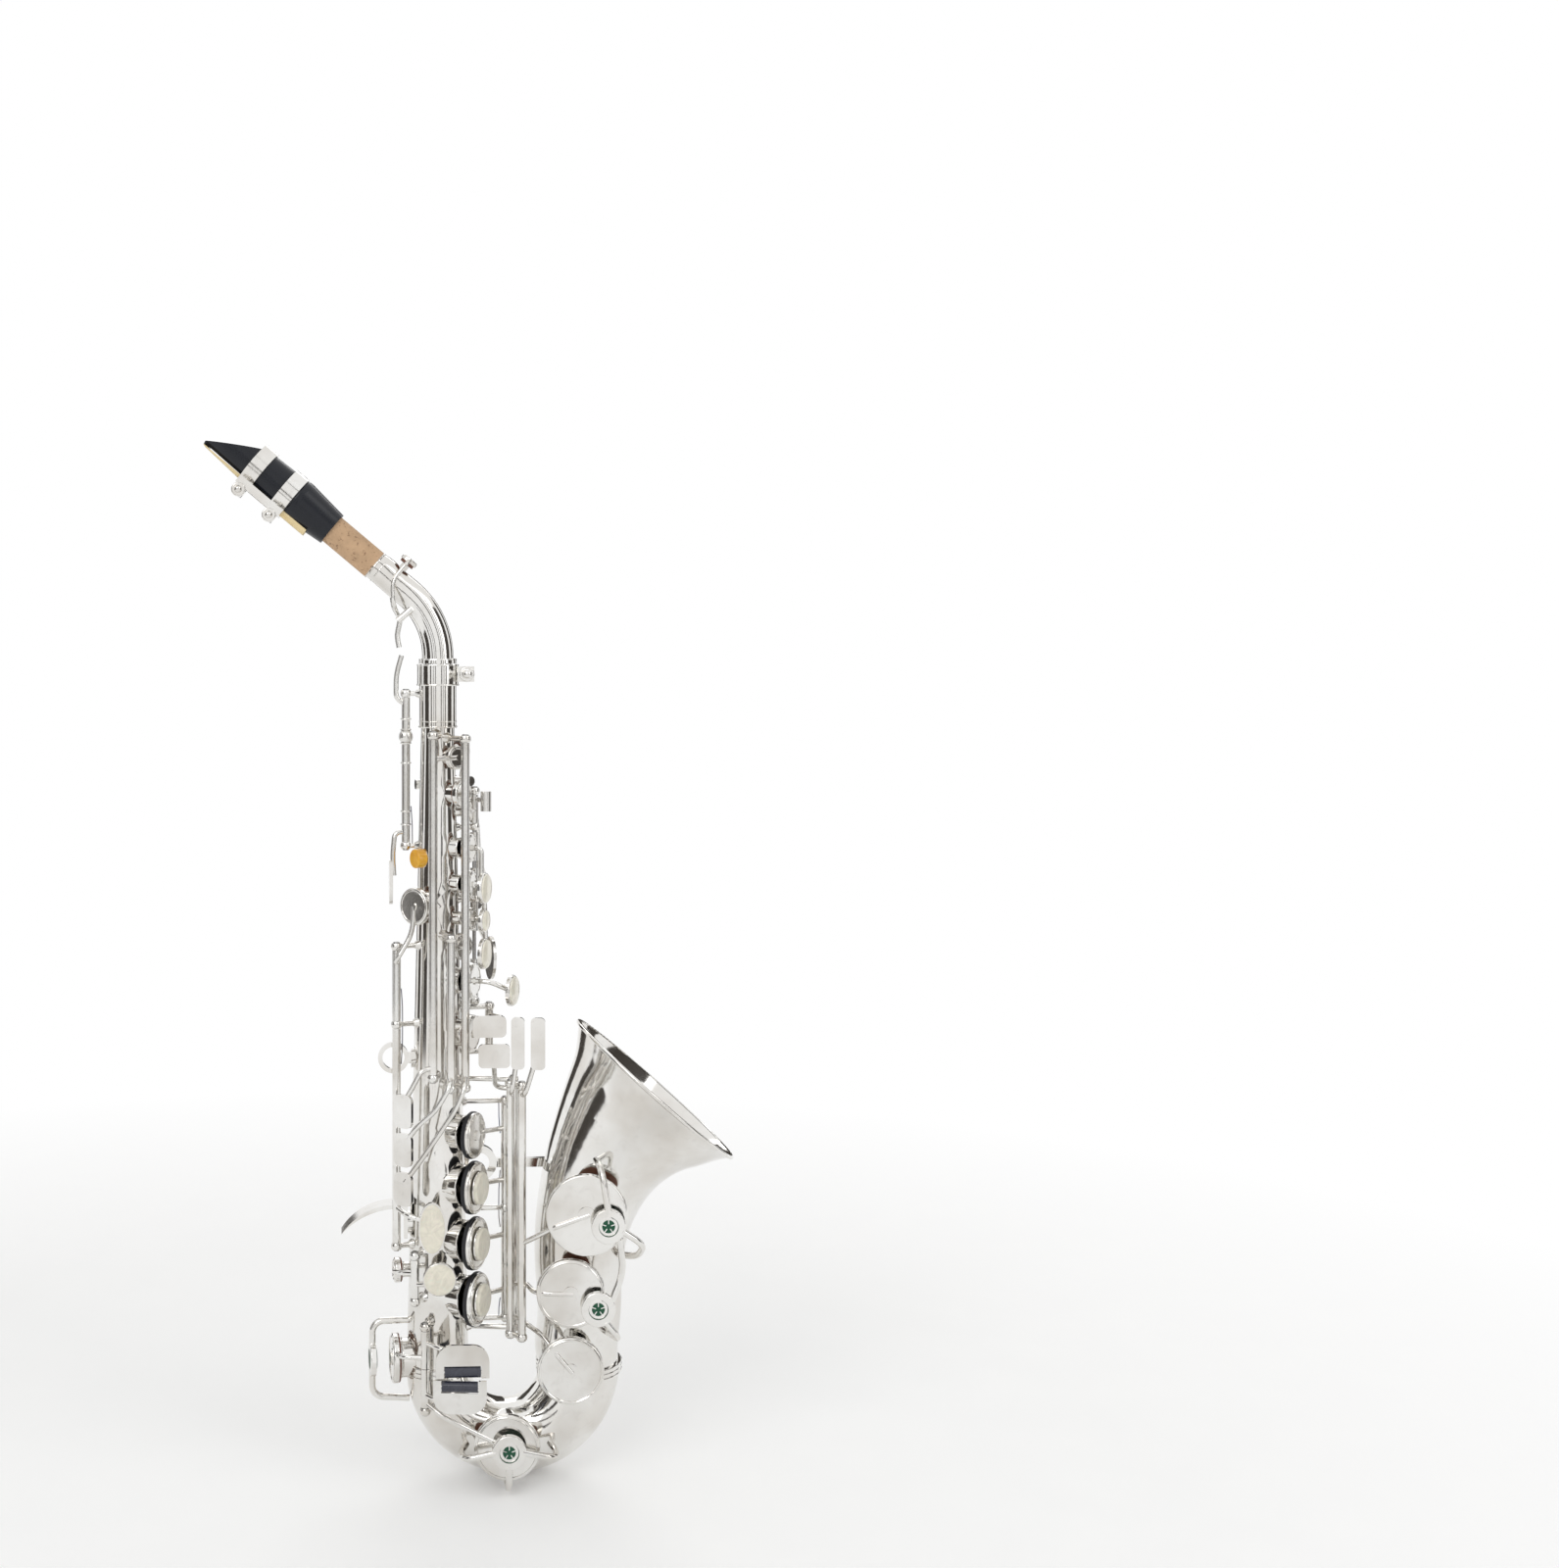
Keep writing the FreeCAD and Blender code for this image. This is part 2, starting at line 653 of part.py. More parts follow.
def foot_keys():
    """E flat and low C, on one short rod, with the two halves of the right little-finger plate."""
    centre = V(9.5, -30, 52.5)
    width = 23.6
    half_tall = 14.6
    halves = {"e_flat": 1, "low_c": -1}
    spans = {"e_flat": (53.4, 70), "low_c": (36, 53.1)}
    for name, side in halves.items():
        seat = SEATS[name]
        low, high = spans[name]
        middle = centre + UP * (side * (half_tall / 2 + 0.25))
        touch = plate(f"{name}_plate", middle, UP, FRONT, width, half_tall, size("touch_thickness"))
        outer = centre.z + side * (half_tall + 0.25)

        def outer_corner(edge, outer=outer):
            return corners_of(FRONT)(edge) and abs(edge.Vertexes[0].Point.z - outer) < 0.1

        touch = rounded(touch, 7.5, outer_corner)
        hinge_height = (low + high) / 2 + side * 3
        stem = bar(f"{name}_stem", [rod_point("foot", hinge_height), V(0, -27.4, hinge_height),
                                    V(centre.x, -29.4, middle.z + side * 2)])
        if name == "e_flat":
            route = [rod_point("foot", 58), V(-17, -18.5, 58), seat.above(CUP_TOP - 0.3) + UP * 4,
                     seat.above(CUP_TOP - 0.3) - UP * 3]
        else:
            route = [rod_point("foot", 38), V(2, -25.5, 34), seat.above(CUP_TOP - 0.2) - V(9, 0, -4),
                     seat.above(CUP_TOP - 0.2)]
        arm = bar(f"{name}_arm", route)
        slot_centre = centre + UP * (side * (size("roller_radius") + 0.55))
        slot = block(f"{name}_slot", slot_centre - V(8.3, 1.8, size("roller_radius") + 0.3),
                     FreeCAD.Rotation(), 16.6, 4, "roller_radius * 2 + 0.6")
        pin = cylinder(f"{name}_roller_pin", slot_centre + V(-9.4, -0.8, 0), TO_BELL, "roller_pin_radius", 18.8)
        joined = fuse(f"{name}_joined", [hinge_tube(name, "foot", low, high)] + cup(name) + [touch, stem, arm])
        bore = cylinder(f"{name}_hinge_bore", rod_point("foot", low - 1), UP, "rod_radius + running_gap",
                        high - low + 2)
        key = fuse(f"{name}_with_pin", [cut(f"{name}_cleared", joined, [bore, slot]), pin])
        opening = -BELL_OPEN if name == "low_c" else 0
        sub_part(f"{name}_key", opened(key, "foot", opening))
        roller = cut(f"{name}_roller",
                     cylinder(f"{name}_roller_solid", slot_centre + V(-8, -0.8, 0), TO_BELL, "roller_radius", 16),
                     [cylinder(f"{name}_roller_bore", slot_centre + V(-9, -0.8, 0), TO_BELL,
                               "roller_pin_radius + running_gap", 18)])
        sub_part(f"{name}_roller", opened(roller, "foot", opening))


def g_sharp_key():
    seat = SEATS["g_sharp"]
    tangent = V(cos(radians(64)), sin(radians(64)), 0)
    hinge = rod_point("g_sharp", 200)
    arm = bar("g_sharp_arm", [hinge, seat.above(CUP_TOP - 0.4) + tangent * 6, seat.above(CUP_TOP - 0.4)])
    lever = bar("g_sharp_lever", [rod_point("g_sharp", 205.5), V(30, -2, 206), V(24, -22.2, 206)])
    touch = plate("g_sharp_plate", V(22, -21.6, 205.8), UP, FRONT, 15, 9.5, size("touch_thickness"))
    touch = rounded(touch, 2.4, corners_of(FRONT))
    upright_key("g_sharp", "g_sharp", 191, 208, cup("g_sharp") + [arm, lever, touch])


def side_keys():
    """The three long right-hand side keys: a cup at the top, a finger plate at the bottom."""
    routes = {
        "side_e": [(-3, -19, 187), (-8.5, -21, 186), (-12, -20.2, 179), (-15.5, -17.5, 172)],
        "side_c": [(5, -20, 183), (4, -25.5, 179.5), (-2, -24.4, 169), (-10, -22.4, 162), (-15.5, -17.8, 153)],
        "side_b_flat": [(11.5, -18, 183), (11, -24.5, 179.5), (7, -25.2, 170), (-5, -24, 152), (-15.5, -18.1, 136)],
    }
    plates = {"side_e": (167.5, 15), "side_c": (150.3, 15), "side_b_flat": (132.8, 15)}
    spans = {"side_e": (184, 333.5), "side_c": (179.5, 243), "side_b_flat": (179.5, 332)}
    for name, route in routes.items():
        seat = SEATS[name]
        height, tall = plates[name]
        normal = outward(-38)
        hinge = rod_point(name, seat.centre.z)
        side = (V(hinge.x, hinge.y, 0) - V(seat.centre.x, seat.centre.y, 0)).normalize()
        arm = bar(f"{name}_arm", [hinge, seat.above(CUP_TOP - 0.4) + side * 1.5])
        lever = bar(f"{name}_lever", [V(*point) for point in route])
        centre = V(-15.6, -17.2, height)
        touch = plate(f"{name}_plate", centre, UP, normal, 9.5, tall, size("touch_thickness"))
        touch = rounded(touch, 3, corners_of(normal))
        upright_key(name, name, *spans[name], cup(name) + [arm, lever, touch])


def left_rod_keys():
    """The high F sharp key, the lever that works it and the trill key."""
    seat = SEATS["high_f_sharp"]
    arm = bar("high_f_sharp_arm", [rod_point("high_f_sharp", 232), V(-19, -13.4, 234.5),
                                   seat.above(CUP_TOP + 0.6) - UP * 12, seat.above(CUP_TOP - 0.4)])
    upright_key("high_f_sharp", "high_f_sharp", 206.2, 238, cup("high_f_sharp") + [arm])
    touch = oval("high_f_sharp_oval", V(-3.5, -20.2, 116), UP, FRONT, 6, 11.6, "touch_thickness + 0.4")
    arm = bar("high_f_sharp_lever_arm", [rod_point("high_f_sharp", 122), V(-14, -19, 121), V(-3.5, -19.6, 118)])
    solid = fuse("lever_joined", [hinge_tube("lever", "high_f_sharp", 106.3, 202.8), arm, touch])
    bore = cylinder("lever_bore", rod_point("high_f_sharp", 105), UP, "rod_radius + running_gap", 99)
    sub_part("high_f_sharp_lever", cut("high_f_sharp_lever", solid, [bore]))
    seat = SEATS["trill"]
    arm = bar("trill_arm", [rod_point("trill", 95), V(-17, -13, 94), seat.above(CUP_TOP - 0.3) - V(0, 3, 0),
                            seat.above(CUP_TOP - 0.3)])
    lever = bar("trill_lever", [rod_point("trill", 90), V(-6, -20.4, 91), V(-1, -20.8, 93)])
    touch = disc("trill_touch", V(-0.2, -20.6, 93.5), FRONT, 7.4, "touch_thickness + 0.4", 0.6)
    upright_key("trill", "trill", 84, 101, cup("trill") + [arm, lever, touch])


PALM_PIVOTS = {"palm_d": (125, 313.5), "palm_e_flat": (148, 279.5), "palm_f": (190, 311.5)}


def palm_pivot(name):
    """Middle of a palm key's level hinge, and the direction it runs in."""
    angle, height = PALM_PIVOTS[name]
    place = outward(angle) * (body_radius(height) + 5.2) + UP * height
    return place, V(cos(radians(angle)), sin(radians(angle)), 0)


def palm_keys():
    """The left-hand palm keys, which rock on level hinges."""
    touches = {
        "palm_d": (V(19.5, 15.5, 264), outward(135), 4.2, 10.6, [V(17.5, 9.5, 303), V(19.5, 14, 285)]),
        "palm_e_flat": (V(25, 20, 230), outward(118), 4, 10, [V(9, 19.5, 262), V(19, 21.5, 247)]),
        "palm_f": (V(-3.4, 19.5, 249), outward(190), 4.8, 11, [V(-2.6, 18.5, 280)]),
    }
    for name, (centre, normal, half_width, half_height, route) in touches.items():
        seat = SEATS[name]
        pivot, along = palm_pivot(name)
        tube = cylinder(f"{name}_hinge", pivot - along * 3.5, along, "hinge_radius", 7)
        arm = bar(f"{name}_arm", [seat.above(CUP_TOP - 0.3), seat.above(CUP_TOP - 0.2) - UP * (seat.radius + 3),
                                  pivot])
        lever = bar(f"{name}_lever", [pivot] + route + [centre + UP * 5])
        touch = oval(f"{name}_leaf", centre, UP, normal, half_width, half_height, "touch_thickness")
        solid = fuse(f"{name}_joined", [tube, arm, lever, touch] + cup(name))
        bore = cylinder(f"{name}_bore_hinge", pivot - along * 5, along, "rod_radius + running_gap", 10)
        sub_part(f"{name}_key", cut(f"{name}_key", solid, [bore]))


def front_f_key():
    seat = SEATS["front_f"]
    hinge = rod_point("upper_stack", 300)
    arm = bar("front_f_arm", [hinge, seat.above(CUP_TOP - 0.3)])
    touch = cylinder("front_f_touch", V(21.5, -7, 300.5), UP, 2.4, 9)
    lever = bar("front_f_lever", [rod_point("upper_stack", 305), V(21, 0, 305), V(21.5, -7, 305)])
    upright_key("front_f", "upper_stack", 294.3, 307.2, cup("front_f") + [arm, lever, touch])


def octave_lever():
    """The thumb lever with the pin that reaches the neck's octave key."""
    pin = bar("octave_pin", [rod_point("octave", 348.5), V(-19, 0, 351.5), V(-19, 0, 362), V(-16.5, 0, 371)])
    lever = bar("thumb_lever_arm", [rod_point("octave", 291), V(-19.6, 0, 290), V(-20.6, -1, 280), V(-20, -1.4, 271)])
    touch = oval("thumb_lever_leaf", V(-20.6, -1.6, 268), UP, outward(-88), 4, 10, "touch_thickness")
    solid = fuse("octave_joined", [cylinder("octave_hinge", rod_point("octave", 286), UP, "hinge_radius", 66),
                                   pin, lever, touch])
    bore = cylinder("octave_bore", rod_point("octave", 285), UP, "rod_radius + running_gap", 68)
    sub_part("octave_lever", cut("octave_lever", solid, [bore]))


# ---------------------------------------------------------------- horn

def horn_tubes():
    """Body tube, bow and bell, each with its tone holes."""
    low, high = size("bow_top_height"), size("body_top_height")
    outer = cone("body_outside", UP * low, UP, "body_low_radius", "body_top_radius",
                 "body_top_height - bow_top_height")
    inner = cone("body_inside", UP * low, UP, "body_low_radius - wall", "body_top_radius - wall",
                 "body_top_height - bow_top_height")
    body_outsides, body_bores = chimneys(BODY_SEATS)
    body_solid = fuse("body_with_chimneys", [outer] + body_outsides)

    def bow_solid(name, inset):
        shares = [n / 10 for n in range(11)]
        rings = []
        for share in shares:
            centre, direction, _ = bow_path(share)
            radius = f"body_low_radius + ( bell_throat_radius - body_low_radius ) * {share} - {inset}"
            rings.append((centre, direction, radius))
        return loft(name, rings)

    bow_outsides, bow_bores = chimneys(["low_c"])
    bow_bores[0].Height = 22
    bow_whole = fuse("bow_with_chimney", [bow_solid("bow_outside", "0")] + bow_outsides)
    bow_inner = bow_solid("bow_inside", "wall")

    places = [share * BELL_LENGTH for share in
              (0, 0.15, 0.3, 0.42, 0.53, 0.63, 0.72, 0.79, 0.85, 0.9, 0.94, 0.975, 1)]
    bell_outer = loft("bell_outside", [bell_path(along) for along in places])
    inner_rings = [(c, d, r - size("wall")) for c, d, r in (bell_path(along) for along in places)]
    lip, lip_direction, lip_radius = bell_path(BELL_LENGTH)
    bead = torus("lip_bead", lip - lip_direction * 0.5, lip_direction, "bell_lip_radius - 0.3", "lip_bead_radius")
    bell_outsides, bell_bores = chimneys(["c_sharp", "low_b", "low_b_flat"])
    for bore in bell_bores:
        bore.Height = 24
    bell_solid = fuse("bell_with_chimneys", [bell_outer, bead] + bell_outsides)
    e_flat_chimney = body_outsides[BODY_SEATS.index("e_flat")]
    sub_part("body_tube", cut("body_tube", body_solid, [inner, bow_inner] + body_bores))
    sub_part("bow", cut("bow", bow_whole, [bow_inner, e_flat_chimney, bell_outsides[0]] + bow_bores))
    sub_part("bell", cut("bell", bell_solid, [loft("bell_inside", inner_rings), bow_inner] + bell_bores))
    return body_solid, bow_whole, bell_solid


def bow_rings(tubes):
    """The clamp rings over the two bow joints."""
    rings = []
    for name, x, radius in (("body", 0, "body_low_radius"), ("bell", size("leg_spacing"), "bell_throat_radius")):
        start = V(x, 0, size("bow_top_height") - size("bow_ring_width") / 2)
        ring = cylinder(f"{name}_ring", start, UP, f"{radius} + bow_ring_thickness", "bow_ring_width")
        rings.append(ring)
    sub_part("bow_rings", cut("bow_rings", group("ring_blanks", rings), list(tubes)))


def receiver(body_outer):
    """The sleeve and split collar that hold the neck, and the screw that closes the collar."""
    top = size("receiver_top_height")
    sleeve = cylinder("receiver_sleeve", UP * (size("body_top_height") - 8), UP, "receiver_radius",
                      top - size("body_top_height") + 8)
    collar = cylinder("receiver_collar", UP * (top - size("collar_height")), UP, "collar_radius", "collar_height")
    ears = block("receiver_ears", V(6, -3.2, top - 8), FreeCAD.Rotation(), 10.5, 6.4, 7)
    bore = cylinder("receiver_bore", UP * size("body_top_height"), UP, "tenon_radius + running_gap", 40)
    slit = block("receiver_slit", V(5, -0.5, top - 8.5), FreeCAD.Rotation(), 14, 1, 12)
    screw_hole = cylinder("clamp_hole", V(13, -6, top - 4.5), V(0, 1, 0), 1.25, 12)
    solid = fuse("receiver_joined", [sleeve, collar, ears])
    sub_part("neck_receiver", cut("neck_receiver", solid, [bore, slit, screw_hole, body_outer]))
    screw = fuse("neck_screw", [
        cylinder("screw_shank", V(13, -4.5, top - 4.5), V(0, 1, 0), 1.2, 9.5),
        disc("screw_knob", V(13, -3.6, top - 4.5), FRONT, 3.4, 2.6, 0.6),
        cylinder("screw_neck", V(13, -6, top - 4.5), FRONT, 1.5, 3.6),
        sphere("screw_ball", V(13, -10.4, top - 4.5), 2.2)])
    sub_part("neck_screw", screw)
    return solid


# Each rod: its lower and upper end, and the heights of the posts that hold it.
ROD_SPANS = {
    "low_stack": (68.4, 118.7, 167.6),
    "low_b": (66.3, 178.7),
    "low_b_flat": (66.3, 178.7),
    "c_sharp": (66.3, 178.7),
    "foot": (34.3, 71.7),
    "trill": (82.3, 102.7),
    "high_f_sharp": (104.5, 204.5, 239.7),
    "side_e": (182.3, 335.2),
    "side_c": (177.8, 244.7),
    "side_b_flat": (177.8, 333.7),
    "upper_stack": (212.8, 259.65, 292.5, 309),
    "g_sharp": (189.3, 209.7),
    "octave": (284.3, 353.7),
}
POST_HALF = 1.5


def posts_and_rods(tubes):
    """The posts with feet and ball heads on the body, and the steel rods through them."""
    rods = []
    posts = []
    holes = []
    bracketed = ("c_sharp", "low_b", "low_b_flat")
    for rod, heights in ROD_SPANS.items():
        start = rod_point(rod, heights[0] - POST_HALF)
        length = heights[-1] - heights[0] + 2 * POST_HALF
        rods.append(cylinder(f"{rod}_rod", start, UP, "rod_radius", length))
        holes.append(cylinder(f"{rod}_rod_hole", start, UP, "rod_radius", length))
        if rod in bracketed:
            continue
        for n, height in enumerate(heights):
            posts.append(post(f"{rod}_post_{n}", rod_point(rod, height)))
    for n, height in enumerate(ROD_SPANS["low_b"]):
        chain = [rod_point(rod, height) for rod in bracketed]
        pieces = [post_ball(f"bracket_{n}_ball_{k}", place) for k, place in enumerate(chain)]
        inner = outward(80) * (body_radius(height) - 0.6) + UP * height
        pieces.append(bar(f"bracket_{n}_stem", [inner, chain[0]], "post_stem_radius"))
        pieces.append(post_foot(f"bracket_{n}_foot", outward(80), height))
        pieces.append(bar(f"bracket_{n}_link_0", [chain[0], chain[1]], "post_stem_radius"))
        pieces.append(bar(f"bracket_{n}_link_1", [chain[1], chain[2]], "post_stem_radius"))
        posts.append(fuse(f"bracket_{n}", pieces))
    for name in PALM_PIVOTS:
        pivot, along = palm_pivot(name)
        rods.append(cylinder(f"{name}_rod", pivot - along * 6.6, along, "rod_radius", 13.2))
        holes.append(cylinder(f"{name}_rod_hole", pivot - along * 6.6, along, "rod_radius", 13.2))
        for side in (-1, 1):
            head = pivot + along * (side * 5.9)
            towards = V(-head.x, -head.y, 0).normalize()
            reach = hypot(head.x, head.y) - body_radius(head.z) + 0.8
            stem = bar(f"{name}_stem_{side + 1}", [head, head + towards * reach], "post_stem_radius")
            ball = cylinder(f"{name}_ear_{side + 1}", head - along * 1.6, along, 2.3, 3.2)
            posts.append(fuse(f"{name}_post_{side + 1}", [stem, ball]))
    sub_part("hinge_rods", group("hinge_rods", rods))
    sub_part("key_posts", cut("key_posts", group("post_blanks", posts), list(tubes) + holes))


def post_ball(name, place):
    """A ball head, flat where the hinge tubes run against it."""
    ball = sphere(f"{name}_round", place, "post_ball_radius")
    keep = cylinder(f"{name}_flats", place - UP * POST_HALF, UP, 6, 2 * POST_HALF)
    part = document.addObject("Part::Common", name)
    part.Base = ball
    part.Tool = keep
    return part


def post_foot(name, direction, height):
    start = direction * (horn_radius(height) - 1.2) + UP * height
    return cone(name, start, direction, "post_foot_radius", "post_stem_radius + 0.3", 3)


def post(name, place):
    direction = V(place.x, place.y, 0).normalize()
    inner = direction * (horn_radius(place.z) - 0.8) + UP * place.z
    return fuse(name, [post_ball(f"{name}_ball", place), bar(f"{name}_stem", [inner, place], "post_stem_radius"),
                       post_foot(f"{name}_foot", direction, place.z)])


def bell_brace(tubes):
    """The ring between body and bell, and the arms that hold it."""
    centre = V(19.5, 11, 137)
    half = 1.5
    ring = cylinder("brace_ring", centre - V(0, half, 0), V(0, 1, 0), "brace_ring_radius", 2 * half)
    arm = block("brace_arm", centre + V(size("brace_ring_radius") - 1, -half, -2), FreeCAD.Rotation(), 26, 2 * half, 4)
    foot = cylinder("brace_foot", centre + V(-size("brace_ring_radius") + 1, 0, 0), V(-1, -0.25, 0), 3, 9)
    hole = cylinder("brace_hole", centre - V(0, 4, 0), V(0, 1, 0), "brace_hole_radius", 8)
    sub_part("bell_brace", cut("bell_brace", fuse("brace_joined", [ring, arm, foot]), [hole] + list(tubes)))


def strap_ring(tubes):
    centre = STRAP_HOLE
    half = size("strap_ring_width") / 2
    ring = cylinder("ring_outside", centre - V(0, half, 0), V(0, 1, 0),
                    "strap_ring_hole_radius + strap_ring_wall", "strap_ring_width")
    shank = block("ring_shank", V(-15, -half, 185.5), FreeCAD.Rotation(), 6, "strap_ring_width", 5)
    base = cylinder("ring_base", V(-12.2, 0, 188), V(1, 0, 0), 4.6, 4)
    hole = cylinder("ring_hole", centre - V(0, 4, 0), V(0, 1, 0), "strap_ring_hole_radius", 8)
    sub_part("strap_ring", cut("strap_ring", fuse("ring_joined", [ring, shank, base]), [hole] + list(tubes)))


def thumb_hook(tubes):
    """A bent strip on a round base, made as a sketch padded to its width."""
    body = document.addObject("PartDesign::Body", "hook_strip")
    plane = next(item for item in body.Origin.OriginFeatures if item.Role == "XZ_Plane")
    sketch = body.newObject("Sketcher::SketchObject", "hook_profile")
    sketch.AttachmentSupport = (plane, [""])
    sketch.MapMode = "FlatFace"
    thickness = size("hook_thickness")
    top = [V(-15, 122, 0), V(-31, 120, 0), V(-43, 110.5, 0)]
    low = [V(-15, 122 - thickness, 0), V(-30.4, 120 - thickness, 0), V(-43.8, 109.4, 0)]
    sketch.addGeometry(Part.Arc(top[0], top[1], top[2]), False)
    sketch.addGeometry(Part.LineSegment(top[2], low[2]), False)
    sketch.addGeometry(Part.Arc(low[2], low[1], low[0]), False)
    sketch.addGeometry(Part.LineSegment(low[0], top[0]), False)
    pad = body.newObject("PartDesign::Pad", "hook_pad")
    pad.Profile = sketch
    pad.Midplane = True
    fit(pad, Length="hook_width")
    document.recompute()
    riser = plate("hook_riser", V(-15.6, 0, 114.5), UP, V(1, 0, 0), size("hook_width"), 15, 1.8)
    base = cylinder("hook_base", V(-14.5, 0, 113), V(1, 0, 0), 5.2, 4)
    solid = fuse("hook_joined", [body, riser, base])
    sub_part("thumb_hook", cut("thumb_hook", solid, list(tubes)))


def thumb_rest(tubes):
    """The round left-thumb rest beside the octave lever."""
    direction = outward(-62)
    start = direction * (body_radius(279) - 1) + UP * 279
    blank = disc("rest_blank", start, direction, 4.4, 4.6, 0.8)
    sub_part("thumb_rest", cut("thumb_rest", blank, list(tubes)))


def guard(name, bosses, bars, felts, tubes, normal):
    """A guard: rings that hold felt bumpers, joined by bars to the tube."""
    blanks = []
    holes = []
    for n, centre in enumerate(bosses):
        blanks.append(disc(f"{name}_boss_{n}", centre, normal, "boss_radius", 2.6, 0.5))
        holes.append(cylinder(f"{name}_felt_hole_{n}", centre - normal, normal, "felt_radius", 6))
        felts.append(cylinder(f"{name}_felt_{n}", centre - normal * 0.6, normal, "felt_radius", 2.4))
    for n, points in enumerate(bars):
        blanks.append(bar(f"{name}_bar_{n}", points, 1.5))
    return cut(name, fuse(f"{name}_joined", blanks), holes + list(tubes))


def guards(tubes):
    felts = []
    bosses = [V(73, -37.6, 121), V(69, -33.6, 83.5)]
    bars = [
        [V(73, -38.9, 127), V(70, -38.9, 146), V(69, -20, 147)],
        [V(79, -38.9, 119), V(89, -37, 112), V(88, -24, 103), V(79, -9, 100)],
        [V(78, -38.9, 115.5), V(80, -36, 100), V(75, -34.9, 87)],
        [V(72, -34.9, 78), V(79, -32, 69), V(75, -11, 66)],
    ]
    feature = guard("bell_key_guard", bosses, bars, felts, tubes, FRONT)
    sub_part("bell_key_guard", feature)
    bars = [
        [V(24, -31.9, 20), V(11, -31.5, 17), V(9, -22, 16), V(14, -10, 18)],
        [V(36, -31.9, 20), V(50, -31.5, 17), V(52, -22, 16), V(47, -10, 20)],
        [V(30, -31.9, 14), V(30, -30.5, 2.4), V(30, -16, 2.4), V(30, -8, 5)],
    ]
    sub_part("c_key_guard", guard("c_key_guard", [V(30, -30.6, 20)], bars, felts, tubes, FRONT))
    left = outward(-85)
    place = left * 28.6 + UP * 52
    bars = [
        [place + left * 1.3 + UP * 5, place + left * 1.3 + UP * 17, left * (body_radius(70) - 1) + UP * 69],
        [place + left * 1.3 - UP * 5, place + left * 1.3 - UP * 17, left * 13 + UP * 33.5],
    ]
    sub_part("e_flat_guard", guard("e_flat_guard", [place], bars, felts, tubes, left))
    sub_part("guard_felts", group("guard_felts", felts))


# ---------------------------------------------------------------- neck and mouthpiece

def neck():
    places = [share * NECK_LENGTH for share in (0, 0.08, 0.22, 0.36, 0.5, 0.64, 0.8, 1)]
    rings = [neck_path(along) for along in places]
    outer = loft("neck_outside", rings)
    inner_rings = [neck_path(along) for along in places[1:-1] + [NECK_LENGTH - 2.5]]
    inner = loft("neck_inside", [(c, d, r - size("wall")) for c, d, r in inner_rings])
    top = size("receiver_top_height")
    tenon_low = size("body_top_height") + 1
    tenon = cylinder("tenon", UP * tenon_low, UP, "tenon_radius", top + size("end_gap") + 1.5 - tenon_low)
    collar = disc("neck_collar", UP * (top + size("end_gap")), UP, 8.6, 2, 0.6)
    cork_length = "cork_shown + cork_hidden"
    cork_tube = cylinder("cork_tube", NECK_END - NECK_AXIS * 0.5, NECK_AXIS, "cork_tube_radius",
                         cork_length + " + 0.5")
    pip_place, pip_axis, pip_reach = neck_path(NECK_LENGTH - 11)
    pip_up = V(pip_axis.z, 0, -pip_axis.x)
    pip = cylinder("octave_pip", pip_place + pip_up * 5, pip_up, 1.8, pip_reach - 2.6)
    pivot = neck_pivot()
    bow_in = V(-cos(radians(40)), 0, -sin(radians(40)))
    saddles = [bar(f"saddle_{side + 1}", [pivot + V(0, side * 4.8, 0) + bow_in * 1.7,
                                          pivot + V(0, side * 4.8, 0) - bow_in * 6.4], 1.5) for side in (-1, 1)]
    pin = cylinder("neck_key_pin", pivot - V(0, 6, 0), V(0, 1, 0), "rod_radius", 12)
    tools = [inner,
             cylinder("tenon_bore", UP * (tenon_low - 1), UP, "tenon_radius - wall",
                      top + size("end_gap") + places[1] + 1.6 - tenon_low),
             cylinder("cork_tube_bore", NECK_END - NECK_AXIS * 3, NECK_AXIS, "cork_tube_radius - wall", 50),
             cylinder("octave_vent", pip_place, pip_up, 0.8, 12)]
    solid = fuse("neck_joined", [outer, tenon, collar, cork_tube, pip, pin] + saddles)
    sub_part("neck_tube", cut("neck_tube", solid, tools))
    blank = cylinder("cork_blank", ORIGIN, UP, "cork_radius", cork_length)
    hole = cylinder("cork_hole", V(0, 0, -1), UP, "cork_tube_radius", cork_length + " + 2")
    cork = cut("neck_cork", blank, [hole])
    cork.Placement = NECK_PLACE
    sub_part("neck_cork", cork)


def neck_pivot():
    """The hinge of the neck's octave key, on the inside of the neck's bend."""
    bend = size("neck_bend_radius")
    angle = radians(40)
    centre = V(-bend, 0, size("receiver_top_height") + size("end_gap") + size("neck_rise"))
    return centre + V(cos(angle), 0, sin(angle)) * (bend - 10.6)


